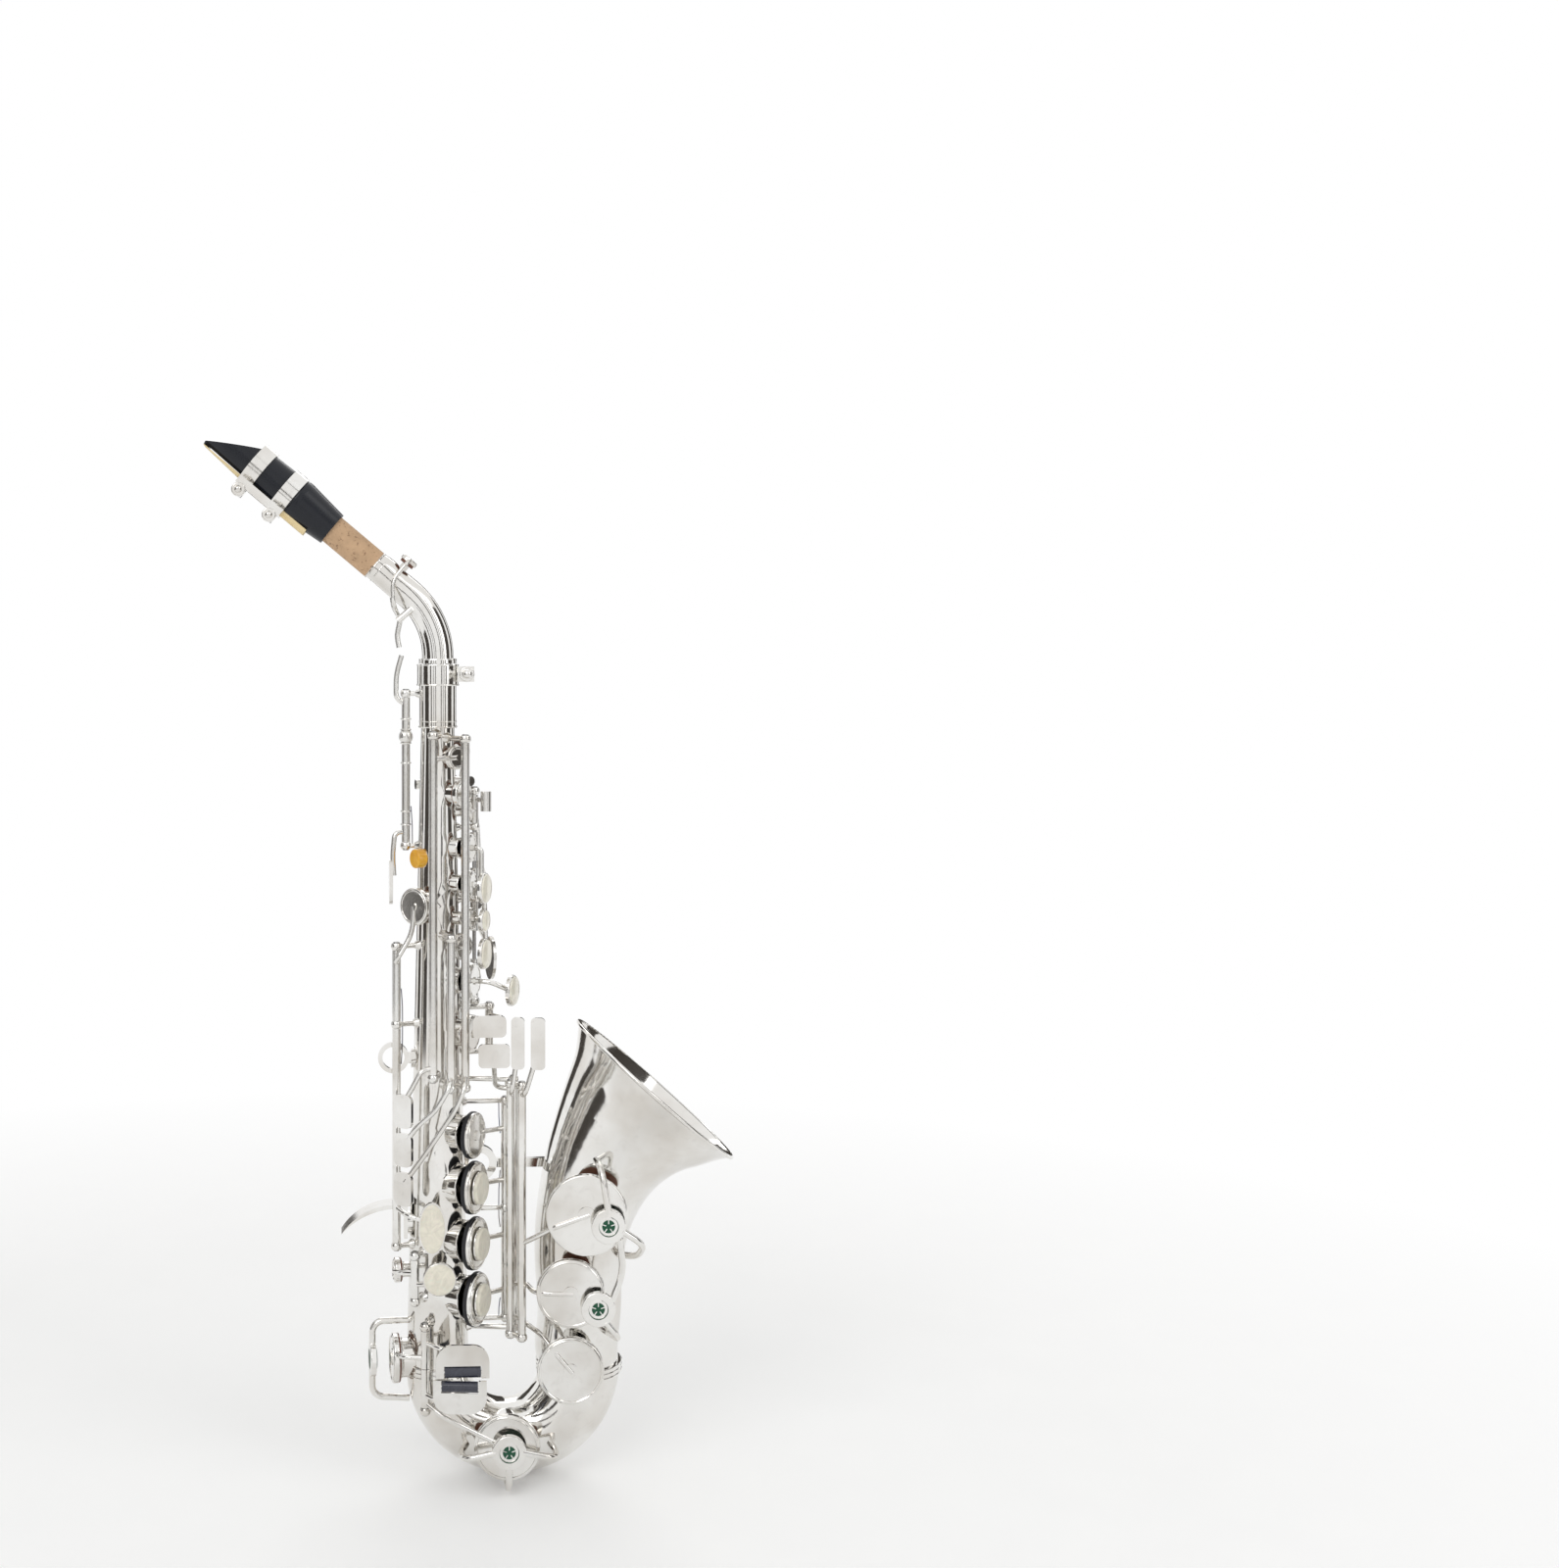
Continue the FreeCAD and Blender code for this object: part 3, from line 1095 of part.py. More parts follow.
def neck_octave_key():
    """The key over the neck's octave pip, which goes round the neck to its hinge."""
    pivot = neck_pivot()
    place, axis, reach = neck_path(NECK_LENGTH - 11)
    up = V(axis.z, 0, -axis.x)
    seat = place + up * (reach + 2.4)
    tube = cylinder("neck_key_hinge", pivot - V(0, 3, 0), V(0, 1, 0), "hinge_radius", 6)
    cup_start = seat + up * (size("pad_gap") + 1.2)
    pan = disc("neck_key_cup", cup_start, up, 4, 2, 0.6)
    pieces = [tube, pan]
    for side in (-1, 1):
        points = [pivot + V(-1.2, side * 1.5, 1.5), pivot + V(-3.4, side * 10, 6), place + V(0, side * 10.4, 0) - up * 1,
                  cup_start + V(0, side * 8.5, 0) + up * 1, cup_start + up * 1]
        pieces.append(bar(f"neck_key_arm_{side + 1}", points, 0.95))
    tail = bar("neck_key_tail", [pivot, pivot + V(-1.6, 0, -8), V(-17.6, 0, 374.6)], 1.2)
    solid = fuse("neck_key_joined", pieces + [tail])
    bore = cylinder("neck_key_bore", pivot - V(0, 4, 0), V(0, 1, 0), "rod_radius + running_gap", 8)
    sub_part("neck_octave_key", cut("neck_octave_key", solid, [bore]))
    sub_part("neck_octave_pad", cylinder("neck_octave_pad", seat + up * size("pad_gap"), up, 3.4, 1.2))


def mouthpiece_profile():
    """The mouthpiece's turned outside, as a sketch revolved about its axis, from the shank to the tip."""
    body = document.addObject("PartDesign::Body", "mouthpiece_turning")
    plane = next(item for item in body.Origin.OriginFeatures if item.Role == "XZ_Plane")
    sketch = body.newObject("Sketcher::SketchObject", "mouthpiece_outline")
    sketch.AttachmentSupport = (plane, [""])
    sketch.MapMode = "FlatFace"
    low = size("cork_shown")
    high = low + size("mouthpiece_length")
    outline = [V(0, low, 0), V(size("shank_radius"), low, 0), V(size("shank_radius") + 0.2, low + 2, 0),
               V(size("mouthpiece_radius") + 0.35, low + 19, 0), V(size("mouthpiece_radius") + 0.35, low + 21, 0),
               V(size("mouthpiece_radius"), low + 22, 0), V(size("mouthpiece_radius") - 0.9, high - 22, 0),
               V(size("mouthpiece_radius") - 1.3, high, 0), V(0, high, 0)]
    for start, end in zip(outline, outline[1:] + outline[:1]):
        sketch.addGeometry(Part.LineSegment(start, end), False)
    turned = body.newObject("PartDesign::Revolution", "mouthpiece_revolution")
    turned.Profile = sketch
    turned.ReferenceAxis = (sketch, ["V_Axis"])
    turned.Angle = 360
    document.recompute()
    return body


def mouthpiece():
    low = size("cork_shown")
    high = low + size("mouthpiece_length")
    drop = size("table_drop")
    body = mouthpiece_profile()
    heel = high - size("reed_tip_setback") - size("reed_length") - size("end_gap")
    table = block("table_cut", V(-20, -20, heel), FreeCAD.Rotation(), 20 - drop, 40, 90)
    beak_start = V(size("mouthpiece_radius"), -20, high - size("beak_length"))
    beak_end = V(-drop + size("tip_thickness"), -20, high)
    run = beak_end - beak_start
    beak_turn = FreeCAD.Rotation(V(0, 1, 0), -degrees(atan2(-run.x, run.z)))
    beak = block("beak_cut", beak_start, beak_turn, 30, 40, 60)
    socket = cylinder("cork_socket", V(0, 0, low - 1), UP, "cork_radius + running_gap", "cork_hidden + 1.5")
    bore = cylinder("chamber", V(0, 0, low), UP, "chamber_radius", size("mouthpiece_length") - 34)
    window = block("window_cut", V(-drop - 1, -size("window_width") / 2, high - 36), FreeCAD.Rotation(),
                   "chamber_radius + 3", "window_width", 33)
    part = cut("mouthpiece", body, [table, beak, socket, bore, window])
    part.Placement = NECK_PLACE
    sub_part("mouthpiece", part)


def reed():
    """A cane blade, full thickness at the heel and thin at the tip, flat against the table."""
    body = document.addObject("PartDesign::Body", "reed_blade")
    plane = next(item for item in body.Origin.OriginFeatures if item.Role == "XZ_Plane")
    sketch = body.newObject("Sketcher::SketchObject", "reed_profile")
    sketch.AttachmentSupport = (plane, [""])
    sketch.MapMode = "FlatFace"
    flat = -size("table_drop")
    tip = size("cork_shown") + size("mouthpiece_length") - size("reed_tip_setback")
    heel = tip - size("reed_length")
    vamp = tip - 30
    back = flat - size("reed_thickness")
    outline = [V(flat, heel, 0), V(flat, tip, 0), V(flat - 0.3, tip, 0), V(back + 0.5, vamp, 0), V(back, vamp - 2, 0),
               V(back, heel, 0)]
    for start, end in zip(outline, outline[1:] + outline[:1]):
        sketch.addGeometry(Part.LineSegment(start, end), False)
    pad = body.newObject("PartDesign::Pad", "reed_pad")
    pad.Profile = sketch
    pad.Midplane = True
    fit(pad, Length="reed_width")
    document.recompute()
    body.Placement = NECK_PLACE
    sub_part("reed", body)


def ligature():
    """Two bands round the mouthpiece and reed, joined along the reed by a plate with a window."""
    low = size("cork_shown")
    high = low + size("mouthpiece_length")
    front = high - size("front_band_from_tip") - size("band_width")
    rear = front - size("band_spacing")
    drop = size("table_drop") + size("reed_thickness")
    outer = size("mouthpiece_radius") + size("band_thickness")
    half_box = size("reed_width") / 2 + 1.2
    length = front + size("band_width") - rear
    bands = []
    for name, start in (("front", front), ("rear", rear)):
        ring = cylinder(f"{name}_band_ring", V(0, 0, start), UP, outer, "band_width")
        box = block(f"{name}_band_box", V(-drop - 1, -half_box, start), FreeCAD.Rotation(), drop, 2 * half_box,
                    "band_width")
        bands += [ring, box]
    back_plate = block("ligature_plate", V(-drop - 1, -half_box, rear), FreeCAD.Rotation(), 3.6, 2 * half_box, length)
    ears = []
    screws = []
    for n, start in enumerate((rear + 1.2, front + 1)):
        for side in (-1, 1):
            ears.append(block(f"ear_{n}_{side + 1}", V(-drop - 5.4, -1.6 + side * 2.9, start), FreeCAD.Rotation(),
                              5, 3.2, 4.6))
        screws.append(V(-drop - 3.2, 0, start + 2.3))
    holes = [cylinder(f"ear_hole_{n}", place - V(0, 9, 0), V(0, 1, 0), "ligature_screw_radius + running_gap", 18)
             for n, place in enumerate(screws)]
    window = block("ligature_window", V(-drop - 3, -3.2, rear + size("band_width")), FreeCAD.Rotation(), 4, 6.4,
                   size("band_spacing") - size("band_width"))
    slit = block("ligature_slit", V(-drop - 7, -0.6, rear - 1), FreeCAD.Rotation(), 6.9, 1.2, length + 2)
    reed_room = block("reed_room", V(-drop, -size("reed_width") / 2, rear - 30), FreeCAD.Rotation(), 5,
                      "reed_width", 100)
    document.recompute()
    core = document.addObject("Part::Feature", "mouthpiece_core")
    core.Shape = document.getObject("mouthpiece_turning").Shape.copy()
    solid = fuse("ligature_joined", bands + [back_plate] + ears)
    part = cut("ligature", solid, holes + [window, slit, reed_room, core])
    part.Placement = NECK_PLACE
    sub_part("ligature", part)
    for n, place in enumerate(screws):
        pieces = [cylinder(f"ligature_shank_{n}", place + V(0, 5.4, 0), FRONT, "ligature_screw_radius", 13),
                  disc(f"ligature_knob_{n}", place - V(0, 7.2, 0), FRONT, 3.1, 3.2, 0.5),
                  sphere(f"ligature_tip_{n}", place - V(0, 10.8, 0), 1.7)]
        screw = fuse(f"ligature_screw_{n + 1}", pieces)
        screw.Placement = NECK_PLACE
        sub_part(f"ligature_screw_{n + 1}", screw)


# ---------------------------------------------------------------- build, check and write

def build():
    tubes = horn_tubes()
    bow_rings(tubes)
    socket = receiver(tubes[0])
    bell_brace(tubes)
    posts_and_rods(tubes + (socket,))
    strap_ring(tubes)
    thumb_hook(tubes)
    thumb_rest(tubes)
    guards(tubes)
    low_stack()
    upper_stack()
    g_sharp_key()
    bell_keys()
    foot_keys()
    side_keys()
    left_rod_keys()
    palm_keys()
    front_f_key()
    octave_lever()
    neck()
    neck_octave_key()
    mouthpiece()
    reed()
    ligature()


def move_to_row_origin():
    """Move every sub-part so that the strap ring's hole is at the origin."""
    shift = FreeCAD.Placement(STRAP_HOLE * -1, FreeCAD.Rotation())
    for item in SUB_PARTS:
        item.Placement = shift.multiply(item.Placement)


def check_and_write():
    document.recompute()
    broken = [item.Label for item in document.Objects if "Invalid" in item.State or "Error" in item.State]
    for item in SUB_PARTS:
        if item.Shape.isNull() or not item.Shape.isValid():
            broken.append(item.Label)
    if broken:
        raise RuntimeError("not built: " + ", ".join(broken))
    for item in SUB_PARTS:
        item.Shape.exportStep(f"parts/{item.Label}.step")
        print(item.Label, len(item.Shape.Solids), round(item.Shape.Volume, 1))
    print(len(SUB_PARTS), "sub-parts")


build()
move_to_row_origin()
check_and_write()
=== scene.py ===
"""Curved soprano saxophone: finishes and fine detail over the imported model."""
from math import cos, pi, radians, sin

import bpy
import bmesh
from mathutils import Matrix, Quaternion, Vector


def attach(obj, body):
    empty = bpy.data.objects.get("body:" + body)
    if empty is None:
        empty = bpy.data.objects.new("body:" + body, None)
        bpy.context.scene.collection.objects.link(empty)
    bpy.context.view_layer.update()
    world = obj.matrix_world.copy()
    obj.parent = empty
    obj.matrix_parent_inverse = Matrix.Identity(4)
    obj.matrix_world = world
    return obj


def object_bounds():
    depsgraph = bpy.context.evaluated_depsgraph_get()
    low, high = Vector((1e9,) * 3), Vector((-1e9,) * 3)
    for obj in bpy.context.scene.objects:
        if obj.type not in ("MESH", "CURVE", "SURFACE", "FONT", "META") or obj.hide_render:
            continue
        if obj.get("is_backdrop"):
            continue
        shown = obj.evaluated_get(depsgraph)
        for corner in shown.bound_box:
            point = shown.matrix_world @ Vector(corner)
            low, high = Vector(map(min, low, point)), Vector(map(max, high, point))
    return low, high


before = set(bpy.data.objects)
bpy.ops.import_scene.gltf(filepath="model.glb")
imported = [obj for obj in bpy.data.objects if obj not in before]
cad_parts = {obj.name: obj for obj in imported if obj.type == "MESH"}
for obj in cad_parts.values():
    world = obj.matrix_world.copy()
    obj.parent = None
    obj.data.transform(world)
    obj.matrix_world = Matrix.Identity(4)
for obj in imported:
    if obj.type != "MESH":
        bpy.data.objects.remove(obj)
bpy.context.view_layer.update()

bl_info = {
    "name": "Curved soprano saxophone",
    "version": (1, 0, 0),
    "blender": (4, 5, 0),
    "location": "3D View > Sidebar > Saxophone",
    "description": "Finishes, pads, pearls, screws and springs for a curved soprano saxophone",
    "category": "Object",
}

# ---------------------------------------------------------------- places, in mm of the part's building frame

STRAP_HOLE = Vector((-20.2, 0, 188))
UP = Vector((0, 0, 1))
FRONT = Vector((0, -1, 0))
LEVEL = Vector((0, 1, 0))
NECK_AXIS = Vector((-sin(radians(50)), 0, cos(radians(50))))
NECK_UP = Vector((NECK_AXIS.z, 0, -NECK_AXIS.x))
NECK_END = Vector((-28.897, 0, 412.265))

CORK_SHOWN = 25
MOUTHPIECE_TIP = CORK_SHOWN + 69
BAND_WIDTH = 7
BAND_SPACING = 18
FRONT_BAND = MOUTHPIECE_TIP - 22 - BAND_WIDTH
REAR_BAND = FRONT_BAND - BAND_SPACING

CHIMNEY = 3.2
CUP_TOP = 3.8
BODY_INSET = 2.2
BELL_INSET = 4.4
BOW_TOP = 48
LEG_SPACING = 64.5
BODY_LOW_RADIUS = 14.2
BODY_TOP_RADIUS = 7.4
BODY_TOP = 346

RODS = {
    "low_stack": Vector((31, 2, 0)),
    "low_b": Vector((32, -14, 0)),
    "low_b_flat": Vector((36.7, -19, 0)),
    "c_sharp": Vector((34, -5.5, 0)),
    "foot": Vector((-6.5, -19.5, 0)),
    "trill": Vector((-11, -17, 0)),
    "high_f_sharp": Vector((-19, -8, 0)),
    "side_e": Vector((-3, -19, 0)),
    "side_c": Vector((5, -20, 0)),
    "side_b_flat": Vector((11.5, -18, 0)),
    "upper_stack": Vector((17, 5, 0)),
    "g_sharp": Vector((24, 8, 0)),
    "octave": Vector((-14.5, 1, 0)),
}

# Ends of each upright rod.
ROD_ENDS = {
    "low_stack": (66.9, 169.1),
    "low_b": (64.8, 180.2),
    "low_b_flat": (64.8, 180.2),
    "c_sharp": (64.8, 180.2),
    "foot": (32.8, 73.2),
    "trill": (80.8, 104.2),
    "high_f_sharp": (103, 241.2),
    "side_e": (180.8, 336.7),
    "side_c": (176.3, 246.2),
    "side_b_flat": (176.3, 335.2),
    "upper_stack": (211.3, 310.5),
    "g_sharp": (187.8, 211.2),
    "octave": (282.8, 355.2),
}

# Keys on the body: angle round it, height, cup radius, rod and the angle the key stands open.
BODY_KEYS = {
    "f_sharp": (55, 155, 10.2, "low_stack", 7),
    "f": (55, 131.5, 11.5, "low_stack", 7),
    "e": (55, 106.5, 11.5, "low_stack", 7),
    "d": (55, 81.5, 11.7, "low_stack", 7),
    "b": (60, 284, 6.6, "upper_stack", 7),
    "a": (60, 267.5, 6.4, "upper_stack", 7),
    "bis": (60, 252, 5.2, "upper_stack", 7),
    "g": (60, 224, 8.2, "upper_stack", 7),
    "g_sharp": (64, 200, 8.4, None, 0),
    "e_flat": (-85, 52, 11, None, 0),
    "side_e": (35, 325, 5.4, None, 0),
    "side_c": (42, 240, 6, None, 0),
    "side_b_flat": (50, 308.5, 6.2, None, 0),
    "high_f_sharp": (-45, 258, 8.4, None, 0),
    "trill": (-84, 92, 5.6, None, 0),
    "palm_d": (125, 327, 5.4, None, 0),
    "palm_e_flat": (148, 303, 5.4, None, 0),
    "palm_f": (190, 322, 5, None, 0),
    "front_f": (88, 300, 4.6, None, 0),
}

# Keys on the front of the bow and bell: x, height, rim's y, cup radius, rod and opening.
BELL_KEYS = {
    "low_c": (30, 20, -19.55, 14.6, "foot", -6),
    "c_sharp": (58, 53, -22.2, 15, None, 0),
    "low_b": (59, 88.5, -22.98, 15.2, "low_b", -6),
    "low_b_flat": (65.5, 124, -25.98, 18, "low_b_flat", -6),
}
STACK = ("d", "e", "f", "f_sharp")


def outward(angle):
    """The level direction at an angle from the front towards the bell."""
    return Vector((sin(radians(angle)), -cos(radians(angle)), 0))


def body_radius(height):
    """The body tube's outer radius at a height above the bow."""
    narrowing = (BODY_LOW_RADIUS - BODY_TOP_RADIUS) / (BODY_TOP - BOW_TOP)
    return BODY_LOW_RADIUS - (height - BOW_TOP) * narrowing


class Seat:
    """Where a key's cup sits at rest: the middle of its tone hole's rim, the way it faces and its size."""

    def __init__(self, centre, normal, radius, rod, opening):
        self.rim = centre
        self.rim_normal = normal
        self.radius = radius
        turn = Matrix.Rotation(radians(opening), 3, "Z")
        pivot = RODS[rod] if rod else Vector()
        self.centre = pivot + turn @ (centre - pivot)
        self.normal = turn @ normal

    def above(self, distance):
        return self.centre + self.normal * distance


def seats():
    found = {}
    for key, (angle, height, radius, rod, opening) in BODY_KEYS.items():
        normal = outward(angle)
        centre = normal * (body_radius(height) + CHIMNEY) + UP * height
        found[key] = Seat(centre, normal, radius, rod, opening)
    for key, (x, height, y, radius, rod, opening) in BELL_KEYS.items():
        found[key] = Seat(Vector((x, y, height)), FRONT, radius, rod, opening)
    return found


SEATS = seats()


def on_neck(up, side, along):
    """A point by the mouthpiece's axis: off it, across it, and along it from the cork's start."""
    return NECK_END + NECK_UP * up + LEVEL * side + NECK_AXIS * along


# ---------------------------------------------------------------- shapes

class Shape:
    """A mesh being made from turned, swept and flat pieces, in millimetres of the building frame."""

    def __init__(self):
        self.mesh = bmesh.new()

    def rings(self, circles, closed=False):
        """Skin a row of rings of vertices; a ring of one vertex is a point."""
        pairs = list(zip(circles, circles[1:]))
        if closed:
            pairs.append((circles[-1], circles[0]))
        for low, high in pairs:
            count = max(len(low), len(high))
            for n in range(count):
                corners = [low[n % len(low)], low[(n + 1) % len(low)],
                           high[(n + 1) % len(high)], high[n % len(high)]]
                corners = list(dict.fromkeys(corners))
                if len(corners) > 2:
                    self.mesh.faces.new(corners)

    def turned(self, centre, axis, profile, sides=40):
        """A closed solid turned about an axis, from (radius, height) pairs."""
        turn = UP.rotation_difference(axis)
        circles = []
        for radius, height in profile:
            if radius == 0:
                circles.append([self.mesh.verts.new(centre + axis.normalized() * height)])
                continue
            circle = []
            for n in range(sides):
                angle = 2 * pi * n / sides
                spot = Vector((radius * cos(angle), radius * sin(angle), height))
                circle.append(self.mesh.verts.new(centre + turn @ spot))
            circles.append(circle)
        self.rings(circles)

    def bead(self, centre, axis, ring, thick, sides=48, around=10):
        """A rounded ring about an axis."""
        turn = UP.rotation_difference(axis)
        circles = []
        for n in range(sides):
            angle = 2 * pi * n / sides
            circle = []
            for k in range(around):
                tilt = 2 * pi * k / around
                reach = ring + thick * cos(tilt)
                spot = Vector((reach * cos(angle), reach * sin(angle), thick * sin(tilt)))
                circle.append(self.mesh.verts.new(centre + turn @ spot))
            circles.append(circle)
        self.rings(circles, closed=True)

    def wire(self, points, radius, sides=10):
        """A round wire through points, closed with flat ends."""
        points = [Vector(point) for point in points]
        circles = []
        side = None
        for n, point in enumerate(points):
            ahead = points[min(n + 1, len(points) - 1)] - points[max(n - 1, 0)]
            ahead.normalize()
            if side is None:
                side = ahead.orthogonal().normalized()
            side = (side - ahead * side.dot(ahead)).normalized()
            other = ahead.cross(side)
            circle = []
            for k in range(sides):
                angle = 2 * pi * k / sides
                spot = point + (side * cos(angle) + other * sin(angle)) * radius
                circle.append(self.mesh.verts.new(spot))
            circles.append(circle)
        self.rings(circles)
        self.mesh.faces.new(circles[0])
        self.mesh.faces.new(circles[-1])

    def domed_oval(self, centre, up, normal, half_width, half_height, layers, sides=48):
        """An oval button from (scale, height) layers, the last one its crown."""
        side = up.cross(normal)
        circles = []
        for scale, height in layers:
            if scale == 0:
                circles.append([self.mesh.verts.new(centre + normal * height)])
                continue
            circle = []
            for n in range(sides):
                angle = 2 * pi * n / sides
                reach = side * (half_width * scale * cos(angle)) + up * (half_height * scale * sin(angle))
                circle.append(self.mesh.verts.new(centre + reach + normal * height))
            circles.append(circle)
        self.rings(circles)
        self.mesh.faces.new(circles[0])

    def finished(self, name, material, body, crease=35):
        """Turn the mesh into a piece in metres of the row's frame, riding on a body."""
        bmesh.ops.recalc_face_normals(self.mesh, faces=self.mesh.faces)
        for vertex in self.mesh.verts:
            vertex.co = (vertex.co - STRAP_HOLE) / 1000
        for face in self.mesh.faces:
            face.smooth = True
        data = bpy.data.meshes.new(name)
        self.mesh.to_mesh(data)
        self.mesh.free()
        data.set_sharp_from_angle(angle=radians(crease))
        data.materials.append(material)
        piece = bpy.data.objects.new(name, data)
        bpy.context.scene.collection.objects.link(piece)
        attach(piece, body)
        return piece


# ---------------------------------------------------------------- finishes

class Value:
    """A shader socket that takes part in arithmetic."""

    def __init__(self, nodes, socket):
        self.nodes = nodes
        self.socket = socket

    def math(self, operation, first, second=0.0):
        return self.nodes.node("Math", {"operation": operation}, {0: first, 1: second})

    def __add__(self, other):
        return self.math("ADD", self, other)

    def __radd__(self, other):
        return self.math("ADD", other, self)

    def __sub__(self, other):
        return self.math("SUBTRACT", self, other)

    def __rsub__(self, other):
        return self.math("SUBTRACT", other, self)

    def __mul__(self, other):
        return self.math("MULTIPLY", self, other)

    def __rmul__(self, other):
        return self.math("MULTIPLY", other, self)

    def or_greater(self, other):
        return self.math("MAXIMUM", self, other)


class Nodes:
    """A node tree being filled: one method adds any node and wires its sockets."""

    def __init__(self, tree):
        self.tree = tree

    def join(self, socket, value):
        if isinstance(value, Value):
            self.tree.links.new(value.socket, socket)
        elif socket.type == "RGBA" and len(value) == 3:
            socket.default_value = (*value, 1)
        else:
            socket.default_value = value

    def node(self, kind, settings=None, sockets=None, output=0):
        made = self.tree.nodes.new("ShaderNode" + kind)
        for name, value in (settings or {}).items():
            setattr(made, name, value)
        for name, value in (sockets or {}).items():
            self.join(made.inputs[name], value)
        return Value(self, made.outputs[output])


class Finish(Nodes):
    """A material being made, over the plain surface shader."""

    def __init__(self, name, **constants):
        self.material = bpy.data.materials.new(name)
        self.material.use_nodes = True
        super().__init__(self.material.node_tree)
        self.shader = self.tree.nodes["Principled BSDF"]
        for socket, value in constants.items():
            self.shader.inputs[socket.replace("_", " ").title().replace("Ior", "IOR")].default_value = value
        self.place = self.node("TexCoord", output="Object")

    def noise(self, scale, detail=2.0, place=None, distortion=0.0):
        return self.node("TexNoise", None, {"Vector": place or self.place, "Scale": scale, "Detail": detail,
                                            "Distortion": distortion})

    def cells(self, scale, place=None, output="Distance"):
        return self.node("TexVoronoi", None, {"Vector": place or self.place, "Scale": scale}, output)

    def mix(self, mask, first, second):
        return self.node("Mix", {"data_type": "RGBA"}, {0: mask, 6: first, 7: second}, output=2)

    def stretched(self, factors):
        return self.node("VectorMath", {"operation": "MULTIPLY"}, {0: self.place, 1: factors})

    def along(self, direction):
        return self.node("VectorMath", {"operation": "DOT_PRODUCT"}, {0: self.place, 1: tuple(direction)},
                         output="Value")

    def spread(self, value, low, high):
        """Map a value between two limits onto 0 to 1."""
        return self.node("MapRange", None, {0: value, 1: low, 2: high, 3: 0.0, 4: 1.0})

    def surface(self, color=None, roughness=None, bump=None, strength=0.2, depth=0.0002):
        if color is not None:
            self.join(self.shader.inputs["Base Color"], color)
        if roughness is not None:
            self.join(self.shader.inputs["Roughness"], roughness)
        if bump is not None:
            normal = self.node("Bump", None, {"Strength": strength, "Distance": depth, "Height": bump})
            self.join(self.shader.inputs["Normal"], normal)
        return self.material


def mirror_plate(name, bright, warm, polish, wear=0.05):
    """Polished plating: cloudy warmth, fine buffing lines along the tube and a few rub marks."""
    finish = Finish(name, metallic=1.0)
    cloud = finish.noise(38, 3)
    lines = finish.noise(1, 2, finish.stretched((2600, 2600, 70)))
    rubs = finish.spread(finish.noise(240, 4, distortion=0.6), 0.56, 0.72)
    color = finish.mix(finish.spread(cloud, 0.38, 0.68), bright, warm)
    color = finish.mix(rubs * 0.22, color, tuple(0.86 * part for part in warm))
    roughness = polish + wear * cloud + 0.05 * rubs + 0.025 * lines
    return finish.surface(color, roughness, lines + rubs * 0.4, 0.018, 0.0001)


def drawn_steel(name, shade):
    """Hinge rods: fine drawn lines along their length."""
    finish = Finish(name, metallic=1.0)
    lines = finish.noise(1, 3, finish.stretched((5200, 5200, 40)))
    color = finish.mix(lines, shade, tuple(0.72 * part for part in shade))
    return finish.surface(color, 0.16 + 0.14 * lines, lines, 0.06, 0.0001)


def hard_rubber(name, shade):
    """Black hard rubber: polished, with faint turning lines and a soft mottle."""
    finish = Finish(name, specular_ior_level=0.32, coat_weight=0.06, coat_roughness=0.15)
    mottle = finish.noise(190, 4)
    turning = finish.noise(1, 1, finish.node("CombineXYZ", None, {0: finish.along(NECK_AXIS) * 3800.0}))
    dust = finish.spread(finish.noise(2300, 2), 0.68, 0.8)
    color = finish.mix(mottle, shade, tuple(0.55 * part for part in shade))
    color = finish.mix(dust * 0.12, color, (0.16, 0.16, 0.17))
    return finish.surface(color, 0.2 + 0.12 * mottle, turning + mottle, 0.05, 0.0001)


def cane(name, pale, golden):
    """Shaved reed cane: long straight fibres along the mouthpiece, with broad darker patches."""
    finish = Finish(name)
    run = finish.along(NECK_AXIS)
    across = finish.along(LEVEL)
    depth = finish.along(NECK_UP)
    place = finish.node("CombineXYZ", None, {0: run * 90.0, 1: across * 4200.0, 2: depth * 4200.0})
    fibres = finish.noise(1, 3, place)
    coarse = finish.node("CombineXYZ", None, {0: run * 30.0, 1: across * 700.0, 2: depth * 700.0})
    broad = finish.noise(1, 2, coarse)
    color = finish.mix(finish.spread(fibres, 0.35, 0.7), pale, golden)
    color = finish.mix(finish.spread(broad, 0.45, 0.8) * 0.4, color, tuple(0.6 * part for part in golden))
    return finish.surface(color, 0.5 + 0.2 * fibres, fibres, 0.25, 0.0001)


def cork(name, tan, fleck):
    """Neck cork: soft cells with dark pores and flecks, waxed by use."""
    finish = Finish(name)
    grain = finish.cells(620)
    cloud = finish.noise(130, 4)
    pores = finish.spread(finish.noise(520, 3, distortion=1.2), 0.6, 0.68)
    specks = finish.spread(finish.cells(230), 0.16, 0.09)
    color = finish.mix(finish.spread(cloud, 0.3, 0.75), tan, tuple(0.72 * part for part in tan))
    color = finish.mix(grain * 0.3, color, tuple(1.12 * part for part in tan))
    color = finish.mix(pores * 0.65, color, fleck)
    color = finish.mix(specks * 0.6, color, tuple(0.6 * part for part in fleck))
    return finish.surface(color, 0.72 + 0.15 * cloud, grain - pores * 0.8, 0.35, 0.0003)


